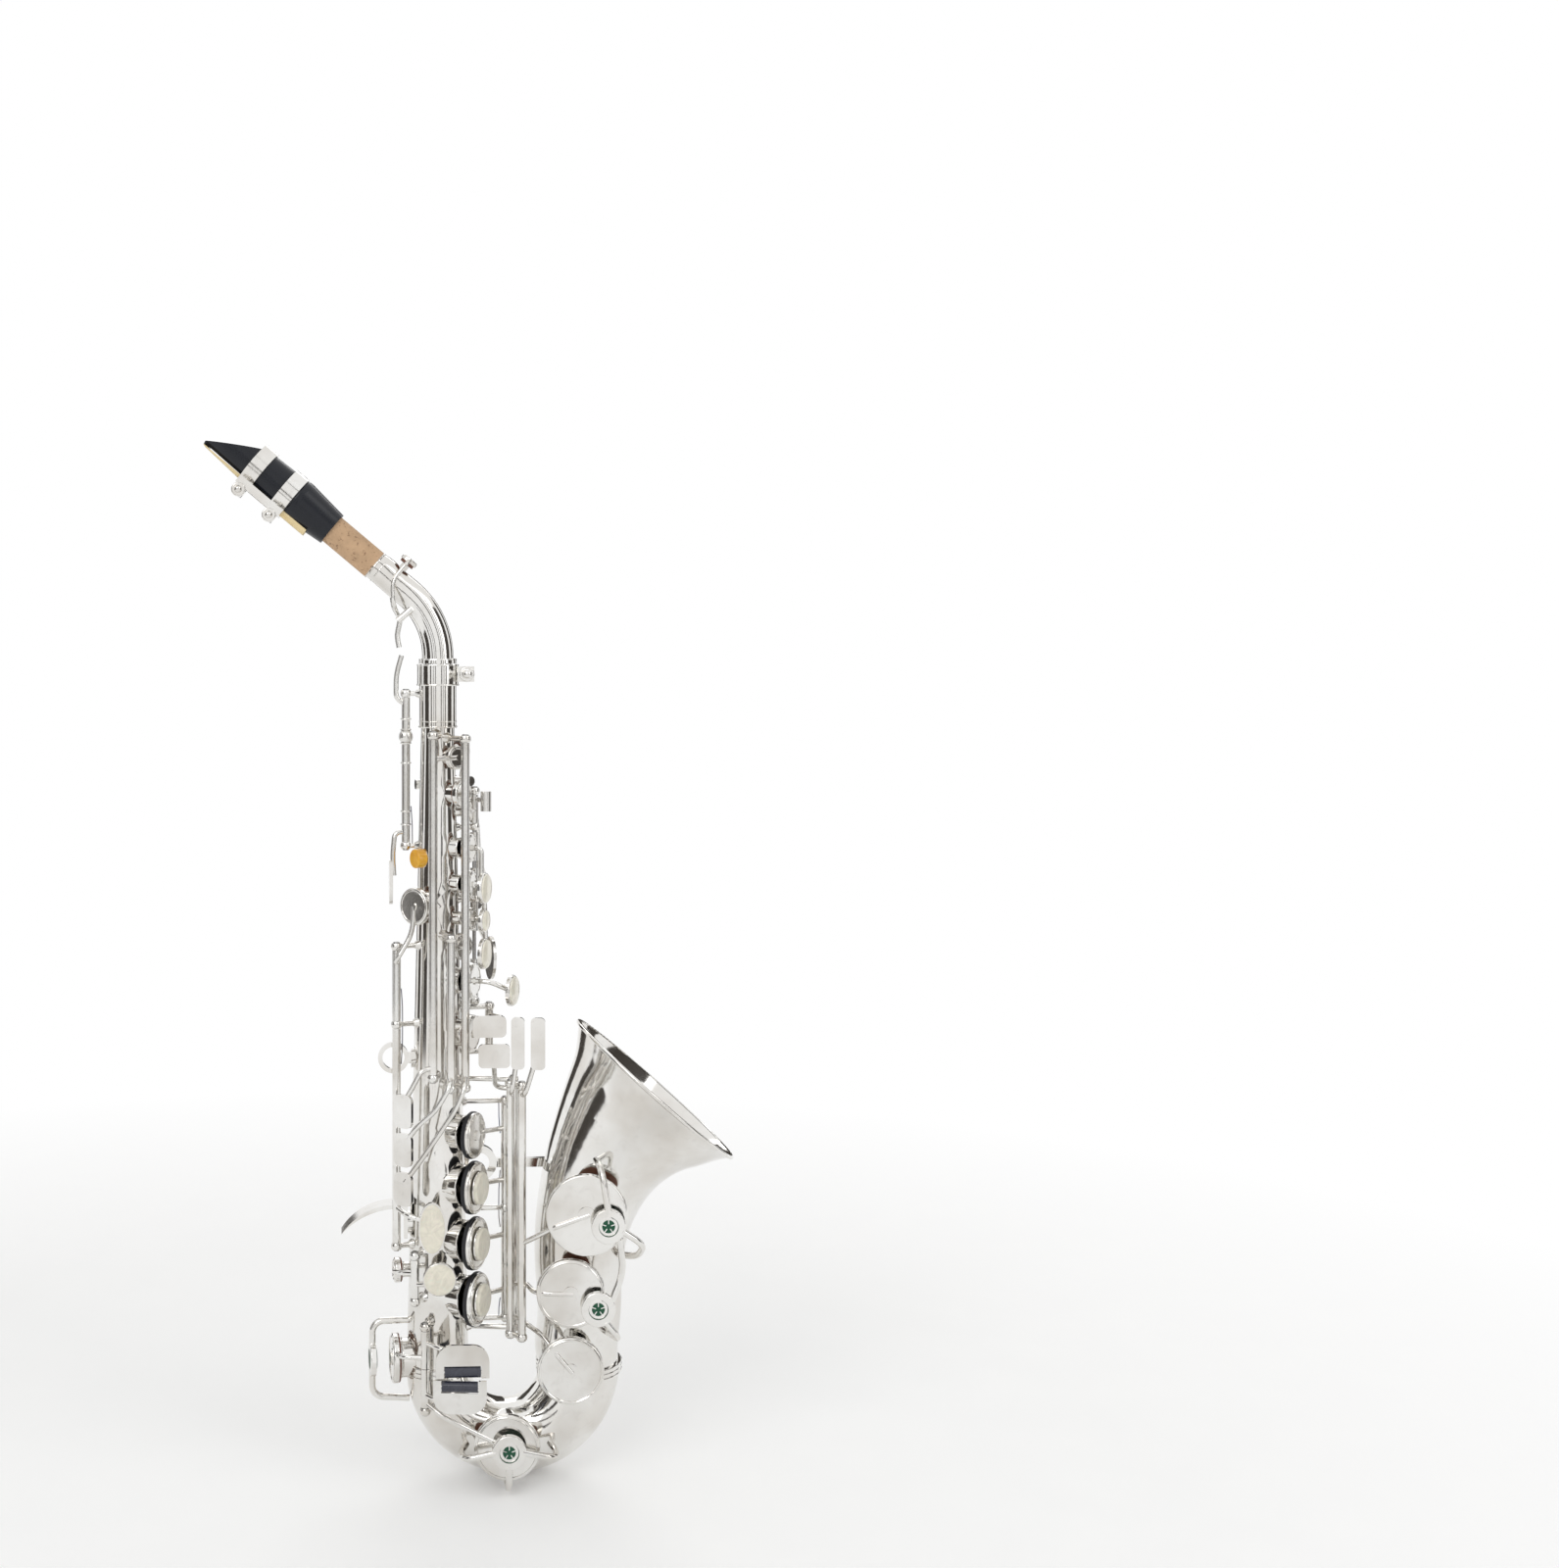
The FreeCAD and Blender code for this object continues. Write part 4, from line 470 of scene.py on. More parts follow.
def pad_leather(name, shade):
    """Kid leather over felt: a pebbled skin with darker clouds."""
    finish = Finish(name)
    pebble = finish.cells(2100)
    cloud = finish.noise(260, 3)
    color = finish.mix(pebble, tuple(0.7 * part for part in shade), shade)
    color = finish.mix(finish.spread(cloud, 0.4, 0.7) * 0.5, color, tuple(0.5 * part for part in shade))
    return finish.surface(color, 0.42 + 0.2 * cloud, pebble, 0.3, 0.0002)


def mother_of_pearl(name, cream):
    """Pearl touch: layered milky clouds with a faint pink and green play, under a clear polish."""
    finish = Finish(name, coat_weight=0.5, coat_roughness=0.06)
    layers = finish.noise(170, 4, distortion=2.2)
    play = finish.noise(320, 2, distortion=1.5)
    color = finish.mix(finish.spread(layers, 0.35, 0.7), cream, tuple(0.84 * part for part in cream))
    color = finish.mix(finish.spread(play, 0.55, 0.75) * 0.25, color, (0.86, 0.72, 0.68))
    color = finish.mix(finish.spread(play, 0.42, 0.28) * 0.25, color, (0.7, 0.8, 0.7))
    return finish.surface(color, 0.16 + 0.1 * layers, layers, 0.05, 0.0002)


def key_felt(name, shade):
    """Pressed wool felt: short tangled fibres."""
    finish = Finish(name, sheen_weight=0.35)
    fibres = finish.noise(2600, 3, distortion=1.5)
    cloud = finish.noise(420, 2)
    color = finish.mix(fibres, tuple(0.6 * part for part in shade), shade)
    color = finish.mix(cloud * 0.3, color, tuple(1.4 * part for part in shade))
    return finish.surface(color, 0.85 + 0.1 * fibres, fibres, 0.6, 0.0004)


def turned_resin(name, shade, pale):
    """Polished resin for the rollers and the thumb rest: fine turning rings and a little depth."""
    finish = Finish(name, coat_weight=0.6, coat_roughness=0.05)
    rings = finish.noise(1, 1, finish.stretched((4200, 300, 300)))
    swirl = finish.noise(210, 3, distortion=1.8)
    color = finish.mix(finish.spread(swirl, 0.35, 0.75), shade, pale)
    return finish.surface(color, 0.14 + 0.12 * rings, rings, 0.06, 0.0001)


def blued_steel(name):
    """Needle springs: heat-blued steel going to straw colour."""
    finish = Finish(name, metallic=1.0)
    heat = finish.spread(finish.noise(90, 2), 0.35, 0.7)
    color = finish.mix(heat, (0.05, 0.07, 0.16), (0.22, 0.18, 0.14))
    return finish.surface(color, 0.25 + 0.1 * heat)


# ---------------------------------------------------------------- settings

def color(name, description, default):
    return bpy.props.FloatVectorProperty(name=name, description=description, default=default, size=3,
                                         min=0, max=1, subtype="COLOR")


def amount(name, description, default, low, high, subtype="NONE"):
    return bpy.props.FloatProperty(name=name, description=description, default=default, min=low, max=high,
                                   subtype=subtype)


class SaxFinishes(bpy.types.PropertyGroup):
    """Colours and polish that a user would change."""
    plate: color("Plate", "Colour of the polished plating", (0.83, 0.82, 0.795))
    plate_warm: color("Warm plate", "Colour of the plating where it has warmed", (0.70, 0.67, 0.625))
    rubber: color("Mouthpiece", "Colour of the hard rubber", (0.010, 0.012, 0.018))
    cane_pale: color("Cane", "Colour of the reed's fibres", (0.80, 0.68, 0.42))
    cane_golden: color("Golden cane", "Colour between the reed's fibres", (0.66, 0.49, 0.22))
    cork_tan: color("Cork", "Colour of the neck cork", (0.56, 0.37, 0.22))
    leather: color("Pads", "Colour of the pads' leather", (0.20, 0.075, 0.04))
    # Near-black leather for the low stack's pads: painted shade, standing in for the shade under those cups.
    painted_shade_leather: color("Stack pads", "Colour of the low stack's dark pads", (0.012, 0.012, 0.016))
    pearl: color("Pearl", "Colour of the pearl touches", (0.80, 0.76, 0.64))
    felt: color("Felt", "Colour of the bumper felts", (0.006, 0.085, 0.04))
    amber: color("Thumb rest", "Colour of the amber thumb rest", (0.72, 0.33, 0.008))
    polish: amount("Polish", "Roughness of the brightest plating", 0.05, 0, 1, "FACTOR")


class SaxSizes(bpy.types.PropertyGroup):
    """Sizes of the fine detail, in millimetres."""
    pad_bulge: amount("Pad bulge", "How far a pad stands out from its cup, mm", 0.02, 0, 0.3)
    rim_bead: amount("Cup bead", "Thickness of the bead round each cup, mm", 0.42, 0.1, 1)
    hole_bead: amount("Hole bead", "Thickness of a tone hole's rolled rim, mm", 0.5, 0.1, 1)
    spring_wire: amount("Spring wire", "Radius of a needle spring, mm", 0.22, 0.1, 0.5)
    knurl_ridges: bpy.props.IntProperty(name="Knurl ridges", description="Ridges round each thumb screw",
                                        default=26, min=8, max=60)


class SaxStage(bpy.types.PropertyGroup):
    """Camera and light."""
    lens: amount("Lens", "Focal length of the camera, mm", 45.4, 10, 200)
    key_power: amount("Key light", "Power of the large soft light, W", 11, 0, 100)
    fill_power: amount("Fill light", "Power of the soft fill light, W", 6, 0, 100)
    sky: amount("Surround", "Strength of the even light all round", 0.6, 0, 2)


def scene_settings():
    return bpy.context.scene.sax_finishes, bpy.context.scene.sax_sizes, bpy.context.scene.sax_stage


MADE = {}


def finish_named(name):
    """A finish made by the finishes operator."""
    if name not in MADE:
        raise RuntimeError(f"the finish {name} isn't made yet: run Make finishes first")
    return MADE[name]


# ---------------------------------------------------------------- operators

class SAX_OT_finishes(bpy.types.Operator):
    """Make every finish the instrument uses"""
    bl_idname = "sax.finishes"
    bl_label = "Make finishes"

    def execute(self, context):
        looks, _, _ = scene_settings()
        plate, warm = tuple(looks.plate), tuple(looks.plate_warm)
        MADE["tube_plate"] = mirror_plate("tube_plate", plate, warm, looks.polish)
        MADE["key_plate"] = mirror_plate("key_plate", plate, tuple(0.95 * part for part in warm),
                                         looks.polish + 0.02, 0.07)
        MADE["guard_plate"] = mirror_plate("guard_plate", plate, warm, looks.polish + 0.03, 0.06)
        MADE["rod_steel"] = drawn_steel("rod_steel", (0.52, 0.51, 0.50))
        MADE["hard_rubber"] = hard_rubber("hard_rubber", tuple(looks.rubber))
        MADE["cane"] = cane("cane", tuple(looks.cane_pale), tuple(looks.cane_golden))
        MADE["cork"] = cork("cork", tuple(looks.cork_tan), (0.16, 0.08, 0.04))
        MADE["brown_leather"] = pad_leather("brown_leather", tuple(looks.leather))
        MADE["painted_shade_leather"] = pad_leather("painted_shade_leather", tuple(looks.painted_shade_leather))
        MADE["pearl"] = mother_of_pearl("pearl", tuple(looks.pearl))
        MADE["felt"] = key_felt("felt", tuple(looks.felt))
        MADE["amber"] = turned_resin("amber", tuple(looks.amber), (0.84, 0.46, 0.03))
        MADE["roller_black"] = turned_resin("roller_black", (0.012, 0.014, 0.03), (0.03, 0.032, 0.05))
        MADE["blued_steel"] = blued_steel("blued_steel")
        return {"FINISHED"}


PLAIN_FINISH = {
    "hinge_rods": "rod_steel",
    "mouthpiece": "hard_rubber",
    "reed": "cane",
    "neck_cork": "cork",
    "thumb_rest": "amber",
    "guard_felts": "felt",
    "neck_octave_pad": "brown_leather",
    # The low stack's pads get the near-black leather, which is painted shade under their cups.
    "d_pad": "painted_shade_leather",
    "e_pad": "painted_shade_leather",
    "f_pad": "painted_shade_leather",
    "f_sharp_pad": "painted_shade_leather",
    "d_pearl": "pearl",
    "e_pearl": "pearl",
    "f_pearl": "pearl",
    "e_flat_roller": "roller_black",
    "low_c_roller": "roller_black",
}
TUBES = ("body_tube", "bow", "bell", "bow_rings", "neck_receiver", "neck_tube", "bell_brace", "strap_ring",
         "thumb_hook")
GUARDS = ("bell_key_guard", "c_key_guard", "e_flat_guard", "key_posts", "ligature", "ligature_screw_1",
          "ligature_screw_2", "neck_screw")


class SAX_OT_dress(bpy.types.Operator):
    """Give every part of the model its finish"""
    bl_idname = "sax.dress"
    bl_label = "Dress the parts"

    def execute(self, context):
        for node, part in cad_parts.items():
            name = PLAIN_FINISH.get(node)
            if name is None:
                name = "tube_plate" if node in TUBES else "guard_plate" if node in GUARDS else "key_plate"
            for slot in part.material_slots:
                slot.material = finish_named(name)
        return {"FINISHED"}


def pad_profile(radius, bulge):
    """A puffed pad under a cup, with its rounded shoulder."""
    low = 0.3 - bulge
    return [(0, low + 0.06), (radius * 0.45, low + 0.05), (radius - 1.5, low), (radius - 0.7, low + 0.06),
            (radius - 0.3, low + 0.3), (radius - 0.22, low + 0.65), (radius - 0.35, 1.14), (radius - 1, 1.17),
            (0, 1.17)]


class SAX_OT_pads(bpy.types.Operator):
    """Put leather pads under the cups"""
    bl_idname = "sax.pads"
    bl_label = "Make pads"

    def execute(self, context):
        _, sizes, _ = scene_settings()
        for key, seat in SEATS.items():
            # Round each low stack cup a leather skirt in near-black: painted shade where the gap under the
            # cup falls dark.
            if key in STACK:
                skirt = Shape()
                inside = seat.radius + 0.03
                outside = seat.radius + 0.32
                profile = [(inside - 0.9, 0.36), (outside - 0.35, 0.32), (outside - 0.08, 0.6),
                           (outside, 1.2), (outside - 0.04, 2.1), (inside, 2.35)]
                skirt.turned(seat.centre, seat.normal, profile + [profile[0]])
                skirt.finished(f"{key}_painted_shade_skirt", finish_named("painted_shade_leather"), key)
                continue
            pad = Shape()
            reach = seat.radius - 0.38 if key in BELL_KEYS else seat.radius
            pad.turned(seat.centre, seat.normal, pad_profile(reach, sizes.pad_bulge))
            pad.finished(f"{key}_pad_skin", finish_named("brown_leather"), key)
        return {"FINISHED"}


class SAX_OT_rims(bpy.types.Operator):
    """Roll the tone holes' rims and bead the cups"""
    bl_idname = "sax.rims"
    bl_label = "Make rims"

    def execute(self, context):
        _, sizes, _ = scene_settings()
        rolled = Shape()
        for key, seat in SEATS.items():
            bead = sizes.hole_bead
            mouth = seat.radius - (BELL_INSET if key in BELL_KEYS else BODY_INSET) - 0.3
            rolled.bead(seat.rim - seat.rim_normal * (bead + 0.02), seat.rim_normal, mouth, bead)
            cup = Shape()
            cup.bead(seat.above(CUP_TOP - 0.12), seat.normal, seat.radius - 1.25, sizes.rim_bead)
            cup.bead(seat.above(1.45), seat.normal, seat.radius - 0.12, 0.22)
            cup.finished(f"{key}_cup_beads", finish_named("key_plate"), key)
        rolled.finished("tone_hole_rims", finish_named("tube_plate"), "horn")
        return {"FINISHED"}


PEARL_RADIUS = 7.0
BIS_PEARL_RADIUS = 5.2
UPPER_OPENING = 7
UPPER_ANGLE = 60


def stack_pearls():
    """Pearl seats on the upper stack: key, middle, the way it faces and its radius."""
    turn = Matrix.Rotation(radians(UPPER_OPENING), 3, "Z")
    pivot = RODS["upper_stack"]
    normal = outward(UPPER_ANGLE)

    def over(cup_height, lift, pearl_height):
        """The middle of a pearl that stands on an arm, from the cup that the arm leaves."""
        reach = body_radius(cup_height) + CHIMNEY + CUP_TOP + lift
        return normal * reach + UP * pearl_height

    found = []
    for key, place, radius in (("b", over(284, 4.7, 266), PEARL_RADIUS),
                               ("a", over(267.5, 4.4, 236.5), PEARL_RADIUS),
                               ("bis", over(252, 3.8, 251.4), BIS_PEARL_RADIUS),
                               ("g", Vector((30, -13, 220)), PEARL_RADIUS)):
        swung = pivot + turn @ (place - pivot)
        found.append((key, swung, turn @ normal, radius))
    return found


class SAX_OT_pearls(bpy.types.Operator):
    """Set pearl touches in their holders"""
    bl_idname = "sax.pearls"
    bl_label = "Make pearls"

    def execute(self, context):
        for key, place, normal, radius in stack_pearls():
            dome = Shape()
            profile = [(0, 1.6), (radius - 0.55, 1.6), (radius - 0.5, 2.1), (radius - 0.9, 2.55),
                       (radius * 0.6, 2.85), (radius * 0.3, 2.98), (0, 3.02)]
            dome.turned(place, normal, profile)
            dome.finished(f"{key}_pearl_top", finish_named("pearl"), key)
        for key in ("d", "e", "f"):
            seat = SEATS[key]
            holder = Shape()
            holder.bead(seat.above(CUP_TOP + 0.75), seat.normal, 7.25, 0.38)
            holder.finished(f"{key}_pearl_holder", finish_named("key_plate"), key)
        layers = [(0.93, 1.9), (0.93, 2.25), (0.86, 2.6), (0.6, 2.85), (0.3, 2.96), (0, 3.0)]
        oval = Shape()
        oval.domed_oval(Vector((-3.5, -20.2, 116)), UP, FRONT, 6, 11.6, layers)
        oval.finished("high_f_sharp_pearl", finish_named("pearl"), "high_f_sharp_lever")
        disc = Shape()
        disc.domed_oval(Vector((-0.2, -20.6, 93.5)), UP, FRONT, 7.4, 7.4, layers)
        disc.finished("trill_pearl", finish_named("pearl"), "trill")
        return {"FINISHED"}


# Front face of each felt bumper's boss on the bell and bow.
FELT_BOSSES = (Vector((73, -38.9, 121)), Vector((69, -34.9, 83.5)), Vector((30, -31.9, 20)))
STAR_LIFT = 0.35
STAR_POINTS = 5


class SAX_OT_bosses(bpy.types.Operator):
    """Ring each felt bumper and set a pierced star over it"""
    bl_idname = "sax.bosses"
    bl_label = "Make boss stars"

    def execute(self, context):
        stars = Shape()
        ring = [(2.75, -0.25), (4.35, -0.25), (4.35, 0.1), (3.6, 0.3), (2.75, 0.12)]
        for place in FELT_BOSSES:
            top = place + FRONT * STAR_LIFT
            stars.bead(place + FRONT * 0.02, FRONT, 5.9, 0.3)
            stars.turned(top, FRONT, ring + [ring[0]])
            for n in range(STAR_POINTS):
                reach = Quaternion(FRONT, 2 * pi * n / STAR_POINTS) @ UP
                stars.wire([top + reach * 1.15, top + reach * 3.1], 0.3, 8)
        stars.finished("boss_stars", finish_named("guard_plate"), "horn")
        return {"FINISHED"}


# Needle springs: rod, height of the post each is set in, and how far it reaches up or down.
SPRINGS = (
    ("low_stack", 118.7, 17),
    ("low_stack", 118.7, -9),
    ("low_stack", 68.4, 9),
    ("low_stack", 167.6, -15),
    ("foot", 34.3, 12),
    ("foot", 71.7, -12),
    ("trill", 82.3, 12),
    ("high_f_sharp", 204.5, -18),
    ("high_f_sharp", 204.5, 16),
    ("side_e", 335.2, -18),
    ("side_b_flat", 333.7, -16),
    ("side_c", 244.7, -16),
    ("upper_stack", 259.65, 13),
    ("upper_stack", 259.65, -12),
    ("upper_stack", 212.8, 13),
    ("octave", 284.3, 18),
)


class SAX_OT_springs(bpy.types.Operator):
    """Stretch needle springs beside the hinge rods"""
    bl_idname = "sax.springs"
    bl_label = "Make springs"

    def execute(self, context):
        _, sizes, _ = scene_settings()
        wires = Shape()
        for rod, height, reach in SPRINGS:
            axis = RODS[rod]
            inward = (Vector() - axis).normalized()
            start = axis + inward * 3.0 + UP * height
            end = axis + inward * 2.35 + UP * (height + reach)
            middle = (start + end) / 2 + inward * 0.25
            wires.wire([start, middle, end], sizes.spring_wire, 8)
        wires.finished("needle_springs", finish_named("blued_steel"), "horn")
        return {"FINISHED"}


HEAD_RADIUS = 1.45
HALF_SLOT = 0.16


class SAX_OT_screws(bpy.types.Operator):
    """Add slotted pivot screws and knurled thumb screws"""
    bl_idname = "sax.screws"
    bl_label = "Make screws"

    def head(self, shape, place, direction):
        """A slotted screw head: two half crowns with a gap between them."""
        side = direction.orthogonal().normalized()
        other = direction.cross(side)
        for sign in (-1, 1):
            rows = []
            for height, scale in ((-0.1, 1), (0.35, 1), (0.55, 0.82)):
                row = []
                for n in range(13):
                    angle = pi * (n / 12)
                    wide = HEAD_RADIUS * scale * cos(angle)
                    deep = HALF_SLOT + (HEAD_RADIUS - HALF_SLOT) * scale * sin(angle)
                    spot = place + side * wide + other * (sign * deep) + direction * height
                    row.append(shape.mesh.verts.new(spot))
                rows.append(row)
            shape.rings(rows)
            shape.mesh.faces.new(rows[0])
            shape.mesh.faces.new(rows[-1])

    def knurl(self, shape, place, axis, radius, low, high, ridges):
        """Fine ridges round a thumb screw's head."""
        side = axis.orthogonal().normalized()
        for n in range(ridges):
            turn = Quaternion(axis, 2 * pi * n / ridges)
            spot = place + turn @ side * radius
            shape.wire([spot + axis * low, spot + axis * (low + 0.3), spot + axis * (high - 0.3),
                        spot + axis * high], 0.24, 6)

    def execute(self, context):
        _, sizes, _ = scene_settings()
        heads = Shape()
        for rod, (low, high) in ROD_ENDS.items():
            self.head(heads, RODS[rod] + UP * low, -UP)
            self.head(heads, RODS[rod] + UP * high, UP)
        heads.finished("pivot_screws", finish_named("rod_steel"), "horn")
        knob = Shape()
        self.knurl(knob, Vector((13, -3.6, 362.5)), FRONT, 3.35, 0.4, 2.2, sizes.knurl_ridges)
        knob.finished("neck_screw_knurl", finish_named("guard_plate"), "neck_screw")
        for name, along in (("rear", REAR_BAND + 3.5), ("front", FRONT_BAND + 3.3)):
            knob = Shape()
            place = on_neck(-13.8, -7.2, along)
            self.knurl(knob, place, FRONT, 3.05, 0.4, 2.8, sizes.knurl_ridges)
            knob.finished(f"ligature_knurl_{name}", finish_named("guard_plate"), f"ligature_screw_{name}")
        return {"FINISHED"}


# Beads round the neck receiver: height, radius and thickness.
RECEIVER_BEADS = ((338.6, 8.4, 0.5), (341, 8.4, 0.3), (357.6, 9.35, 0.4), (366.6, 9.3, 0.35))


class SAX_OT_beads(bpy.types.Operator):
    """Add turned beads to the neck, receiver, bow rings and octave lever"""
    bl_idname = "sax.beads"
    bl_label = "Make beads"

    def execute(self, context):
        horn = Shape()
        for height, ring, thick in RECEIVER_BEADS:
            horn.bead(UP * height, UP, ring, thick)
        for x, radius in ((0, BODY_LOW_RADIUS + 0.9), (LEG_SPACING, 19.4)):
            for height in (BOW_TOP - 2, BOW_TOP, BOW_TOP + 2):
                horn.bead(Vector((x, 0, height)), UP, radius, 0.32, sides=64)
        horn.finished("horn_beads", finish_named("tube_plate"), "horn")
        neck = Shape()
        neck.bead(UP * 369.2, UP, 8.35, 0.35)
        neck.bead(on_neck(0, 0, -0.6), NECK_AXIS, 6.6, 0.45)
        neck.bead(on_neck(0, 0, -3.4), NECK_AXIS, 6.62, 0.25)
        neck.finished("neck_beads", finish_named("tube_plate"), "neck")
        lever = Shape()
        axis = RODS["octave"]
        lever.turned(axis + UP * 334, UP, [(1.85, -3.6), (2.5, -3.2), (2.6, -2.8), (2.2, -2.5), (2.7, -1.9),
                                           (3.15, -0.9), (3.2, 0), (3.1, 1), (2.6, 2), (2.1, 2.6), (2.5, 2.9),
                                           (2.5, 3.3), (1.85, 3.7)])
        for height in (294, 300, 322, 342):
            lever.bead(axis + UP * height, UP, 2.0, 0.45)
        lever.finished("octave_lever_turning", finish_named("key_plate"), "octave_lever")
        return {"FINISHED"}


class SAX_OT_mouthpiece_trim(bpy.types.Operator):
    """Add the ring turned on the mouthpiece's shank"""
    bl_idname = "sax.mouthpiece_trim"
    bl_label = "Trim the mouthpiece"

    def execute(self, context):
        ring = Shape()
        ring.bead(on_neck(0, 0, CORK_SHOWN + 0.5), NECK_AXIS, 7.75, 0.42)
        ring.finished("shank_ring", finish_named("hard_rubber"), "mouthpiece")
        return {"FINISHED"}


# Dark cards round the instrument: angle and width, in metres.
CARDS = (
    (20, 0.10),
    (33, 0.05),
    (46, 0.12),
    (78, 0.62),
    (122, 0.40),
    (160, 0.46),
    (205, 0.36),
    (246, 0.46),
    (286, 0.62),
    (318, 0.14),
    (334, 0.06),
    (346, 0.08),
)
CARD_RING = 1.15
CARD_HEIGHT = 1.3
CAMERA_PLACE = Vector((-43, -900, 370))


class SAX_OT_stage(bpy.types.Operator):
    """Set the floor, the surround, the lights and the camera"""
    bl_idname = "sax.stage"
    bl_label = "Set the stage"

    def floor(self, height):
        """A pale round floor that fades to white."""
        finish = Finish("pale_floor", roughness=0.9)
        grain = finish.noise(30, 2)
        finish.surface(finish.mix(grain, (0.93, 0.93, 0.92), (0.90, 0.90, 0.895)))
        matt = Value(finish, finish.shader.outputs[0])
        lift = finish.node("Emission", None, {"Strength": 0.1})
        near = finish.node("AddShader", None, {0: matt, 1: lift})
        far = finish.node("Emission")
        distance = finish.node("VectorMath", {"operation": "LENGTH"}, {0: finish.place}, output="Value")
        faded = finish.node("MixShader", None, {0: finish.spread(distance, 0.35, 0.8), 1: near, 2: far})
        finish.join(finish.tree.nodes["Material Output"].inputs["Surface"], faded)
        shape = bmesh.new()
        bmesh.ops.create_circle(shape, cap_ends=True, segments=96, radius=9)
        data = bpy.data.meshes.new("floor")
        shape.to_mesh(data)
        shape.free()
        data.materials.append(finish.material)
        floor = bpy.data.objects.new("floor", data)
        floor.location = (0, 0, height)
        bpy.context.scene.collection.objects.link(floor)
        floor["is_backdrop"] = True

    def cards(self):
        """Dark cards round the instrument, unseen by the camera, that give the mirror finish its lines."""
        shade = Finish("card_shade", roughness=0.9)
        grain = shade.noise(12, 2)
        shade.surface(shade.mix(grain, (0.030, 0.026, 0.022), (0.06, 0.05, 0.042)))
        for n, (angle, width) in enumerate(CARDS):
            shape = bmesh.new()
            bmesh.ops.create_grid(shape, x_segments=1, y_segments=1, size=0.5)
            data = bpy.data.meshes.new(f"card_{n}")
            shape.to_mesh(data)
            shape.free()
            data.materials.append(shade.material)
            card = bpy.data.objects.new(f"card_{n}", data)
            direction = outward(angle)
            card.scale = (width, CARD_HEIGHT, 1)
            card.rotation_euler = direction.to_track_quat("Z", "Y").to_euler()
            card.location = direction * CARD_RING + UP * 0.28
            card.visible_camera = False
            card.visible_shadow = False
            card.visible_diffuse = False
            bpy.context.scene.collection.objects.link(card)
            card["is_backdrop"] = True

    def surround(self, strength):
        """Even light all round, plain white where the camera or a mirror sees it."""
        world = bpy.data.worlds.new("surround")
        world.use_nodes = True
        nodes = Nodes(world.node_tree)
        camera, mirror, clear = (nodes.node("LightPath", output=f"Is {kind} Ray")
                                 for kind in ("Camera", "Glossy", "Transmission"))
        seen = camera.or_greater(mirror).or_greater(clear)
        level = nodes.node("MapRange", None, {"Value": seen, "To Min": strength, "To Max": 1.0})
        backdrop = nodes.tree.nodes["Background"]
        nodes.join(backdrop.inputs["Color"], (1, 1, 1))
        nodes.join(backdrop.inputs["Strength"], level)
        bpy.context.scene.world = world

    def lamp(self, name, place, size, power):
        """A soft rectangular light aimed at the instrument's middle."""
        data = bpy.data.lights.new(name, "AREA")
        data.shape = "RECTANGLE"
        data.size, data.size_y = size
        data.energy = power
        lamp = bpy.data.objects.new(name, data)
        lamp.location = place
        lamp.rotation_euler = (Vector((0.02, 0, 0.05)) - Vector(place)).to_track_quat("-Z", "Y").to_euler()
        bpy.context.scene.collection.objects.link(lamp)

    def execute(self, context):
        _, _, stage = scene_settings()
        low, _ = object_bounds()
        self.floor(low.z - 0.0002)
        self.cards()
        self.surround(stage.sky)
        self.lamp("key_light", (-0.9, -1.5, 1.25), (1.3, 1.3), stage.key_power)
        self.lamp("fill_light", (1.4, -0.9, 0.8), (1.1, 1.4), stage.fill_power)
        self.lamp("back_light", (0.3, 1.5, 1.1), (1.4, 0.8), stage.fill_power)
        data = bpy.data.cameras.new("camera")
        data.lens = stage.lens
        data.sensor_width = 36
        data.sensor_fit = "AUTO"
        data.shift_x = 0.218
        data.shift_y = -0.0806
        data.clip_start = 0.05
        data.clip_end = 50
        camera = bpy.data.objects.new("camera", data)
        camera.location = (CAMERA_PLACE - STRAP_HOLE) / 1000
        ahead = Vector((-CAMERA_PLACE.x, -CAMERA_PLACE.y, 0)).normalized()
        camera.rotation_mode = "QUATERNION"
        camera.rotation_quaternion = ahead.to_track_quat("-Z", "Y")
        bpy.context.scene.collection.objects.link(camera)
        bpy.context.scene.camera = camera
        bpy.context.scene.view_settings.view_transform = "Standard"
        return {"FINISHED"}


STEPS = (SAX_OT_finishes, SAX_OT_dress, SAX_OT_pads, SAX_OT_rims, SAX_OT_pearls, SAX_OT_bosses,
         SAX_OT_springs, SAX_OT_screws, SAX_OT_beads, SAX_OT_mouthpiece_trim, SAX_OT_stage)


class SAX_PT_panel(bpy.types.Panel):
    """Lists the settings and the steps in order"""
    bl_label = "Curved soprano saxophone"
    bl_idname = "SAX_PT_panel"
    bl_space_type = "VIEW_3D"
    bl_region_type = "UI"
    bl_category = "Saxophone"

    def draw(self, context):
        layout = self.layout
        for settings in scene_settings():
            for name in settings.bl_rna.properties.keys():
                if name not in ("rna_type", "name"):
                    layout.prop(settings, name)
        for step in STEPS:
            layout.operator(step.bl_idname)


CLASSES = (SaxFinishes, SaxSizes, SaxStage, *STEPS, SAX_PT_panel)


def register():
    for item in CLASSES:
        bpy.utils.register_class(item)
    bpy.types.Scene.sax_finishes = bpy.props.PointerProperty(type=SaxFinishes)
    bpy.types.Scene.sax_sizes = bpy.props.PointerProperty(type=SaxSizes)
    bpy.types.Scene.sax_stage = bpy.props.PointerProperty(type=SaxStage)


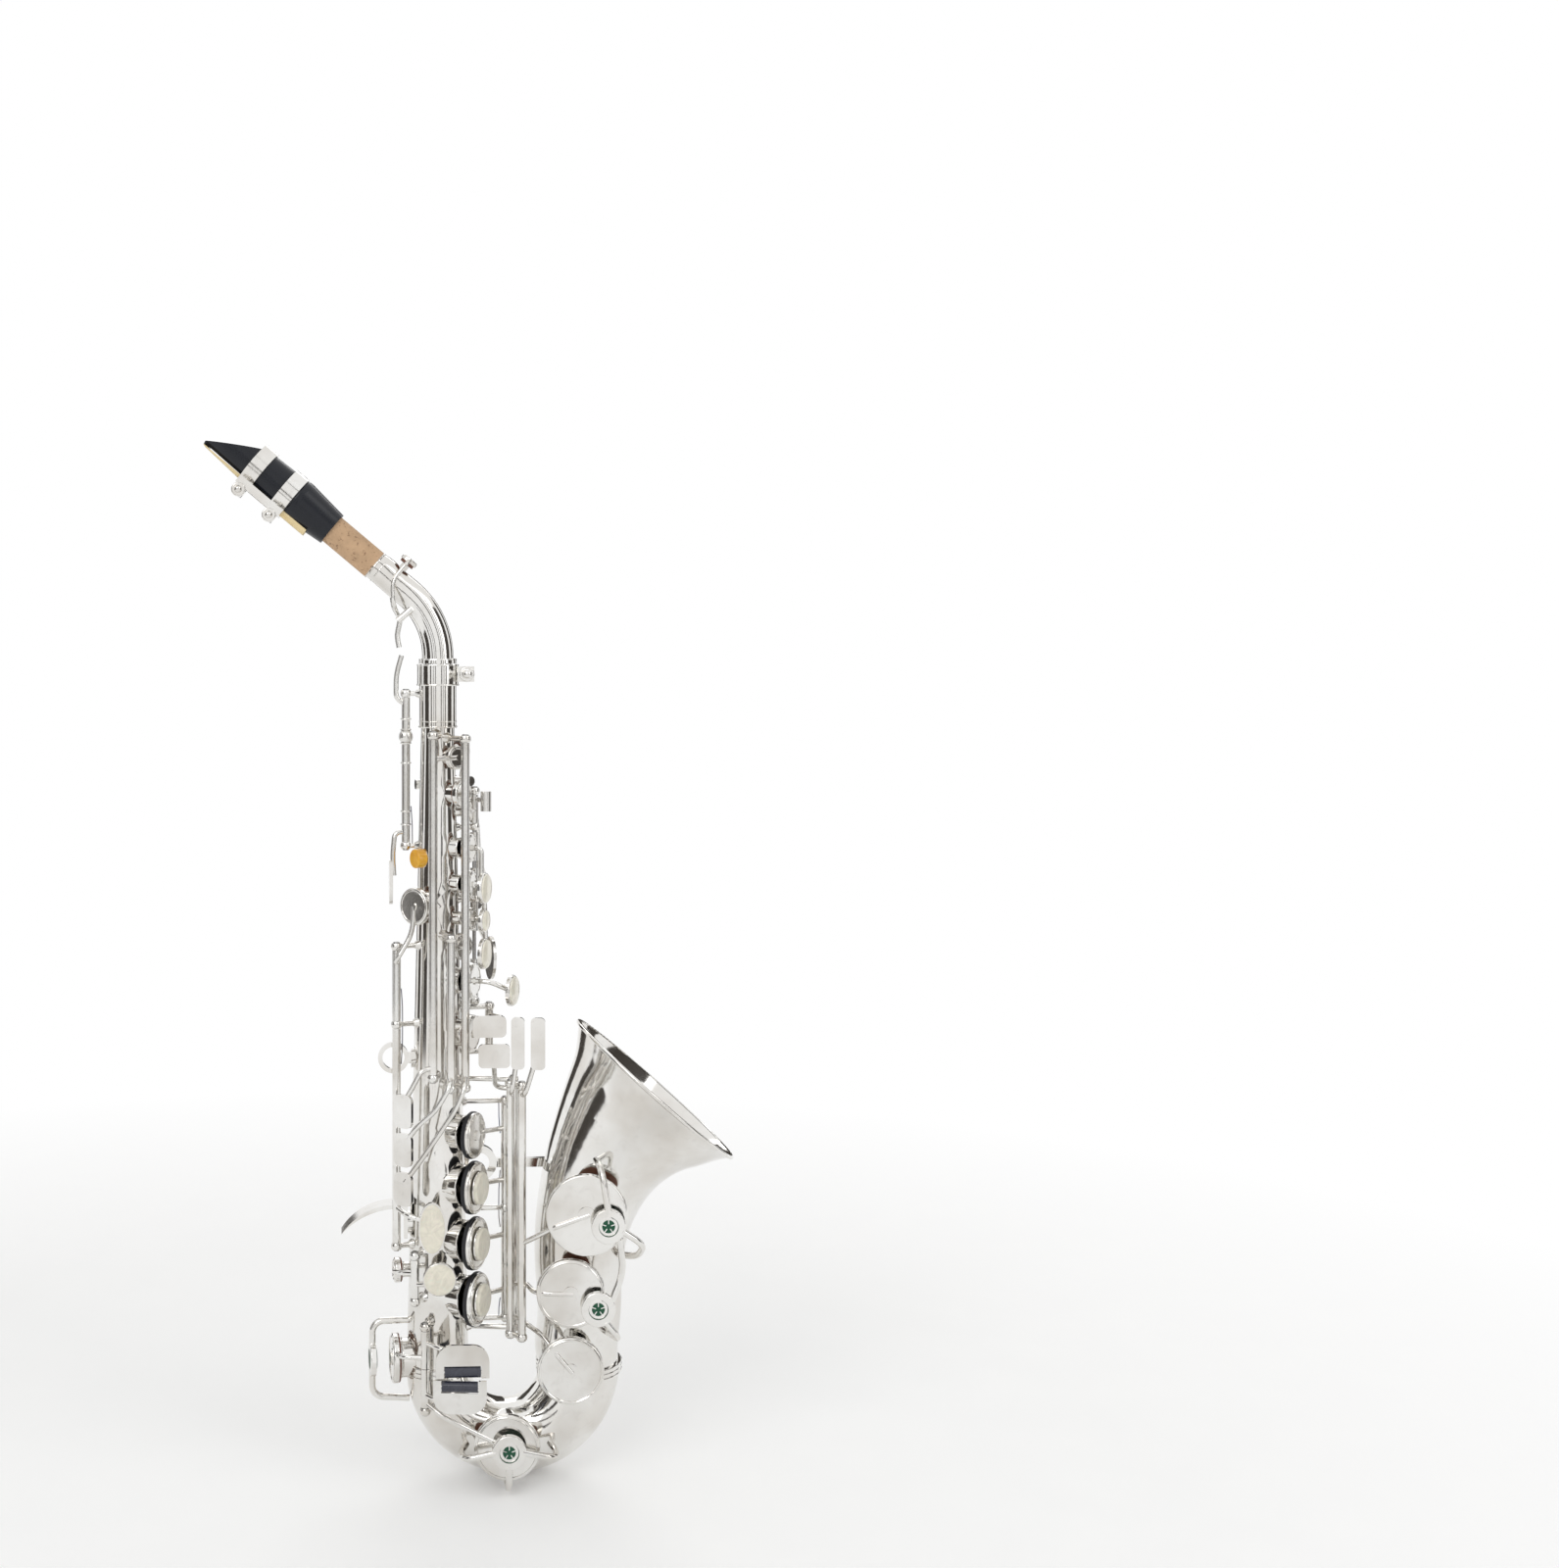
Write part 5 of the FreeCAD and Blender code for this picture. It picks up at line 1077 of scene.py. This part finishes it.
def unregister():
    del bpy.types.Scene.sax_stage
    del bpy.types.Scene.sax_sizes
    del bpy.types.Scene.sax_finishes
    for item in reversed(CLASSES):
        bpy.utils.unregister_class(item)


def main():
    """Run every step in order."""
    register()
    for step in STEPS:
        group, name = step.bl_idname.split(".")
        getattr(getattr(bpy.ops, group), name)()


if __name__ == "__main__":
    main()
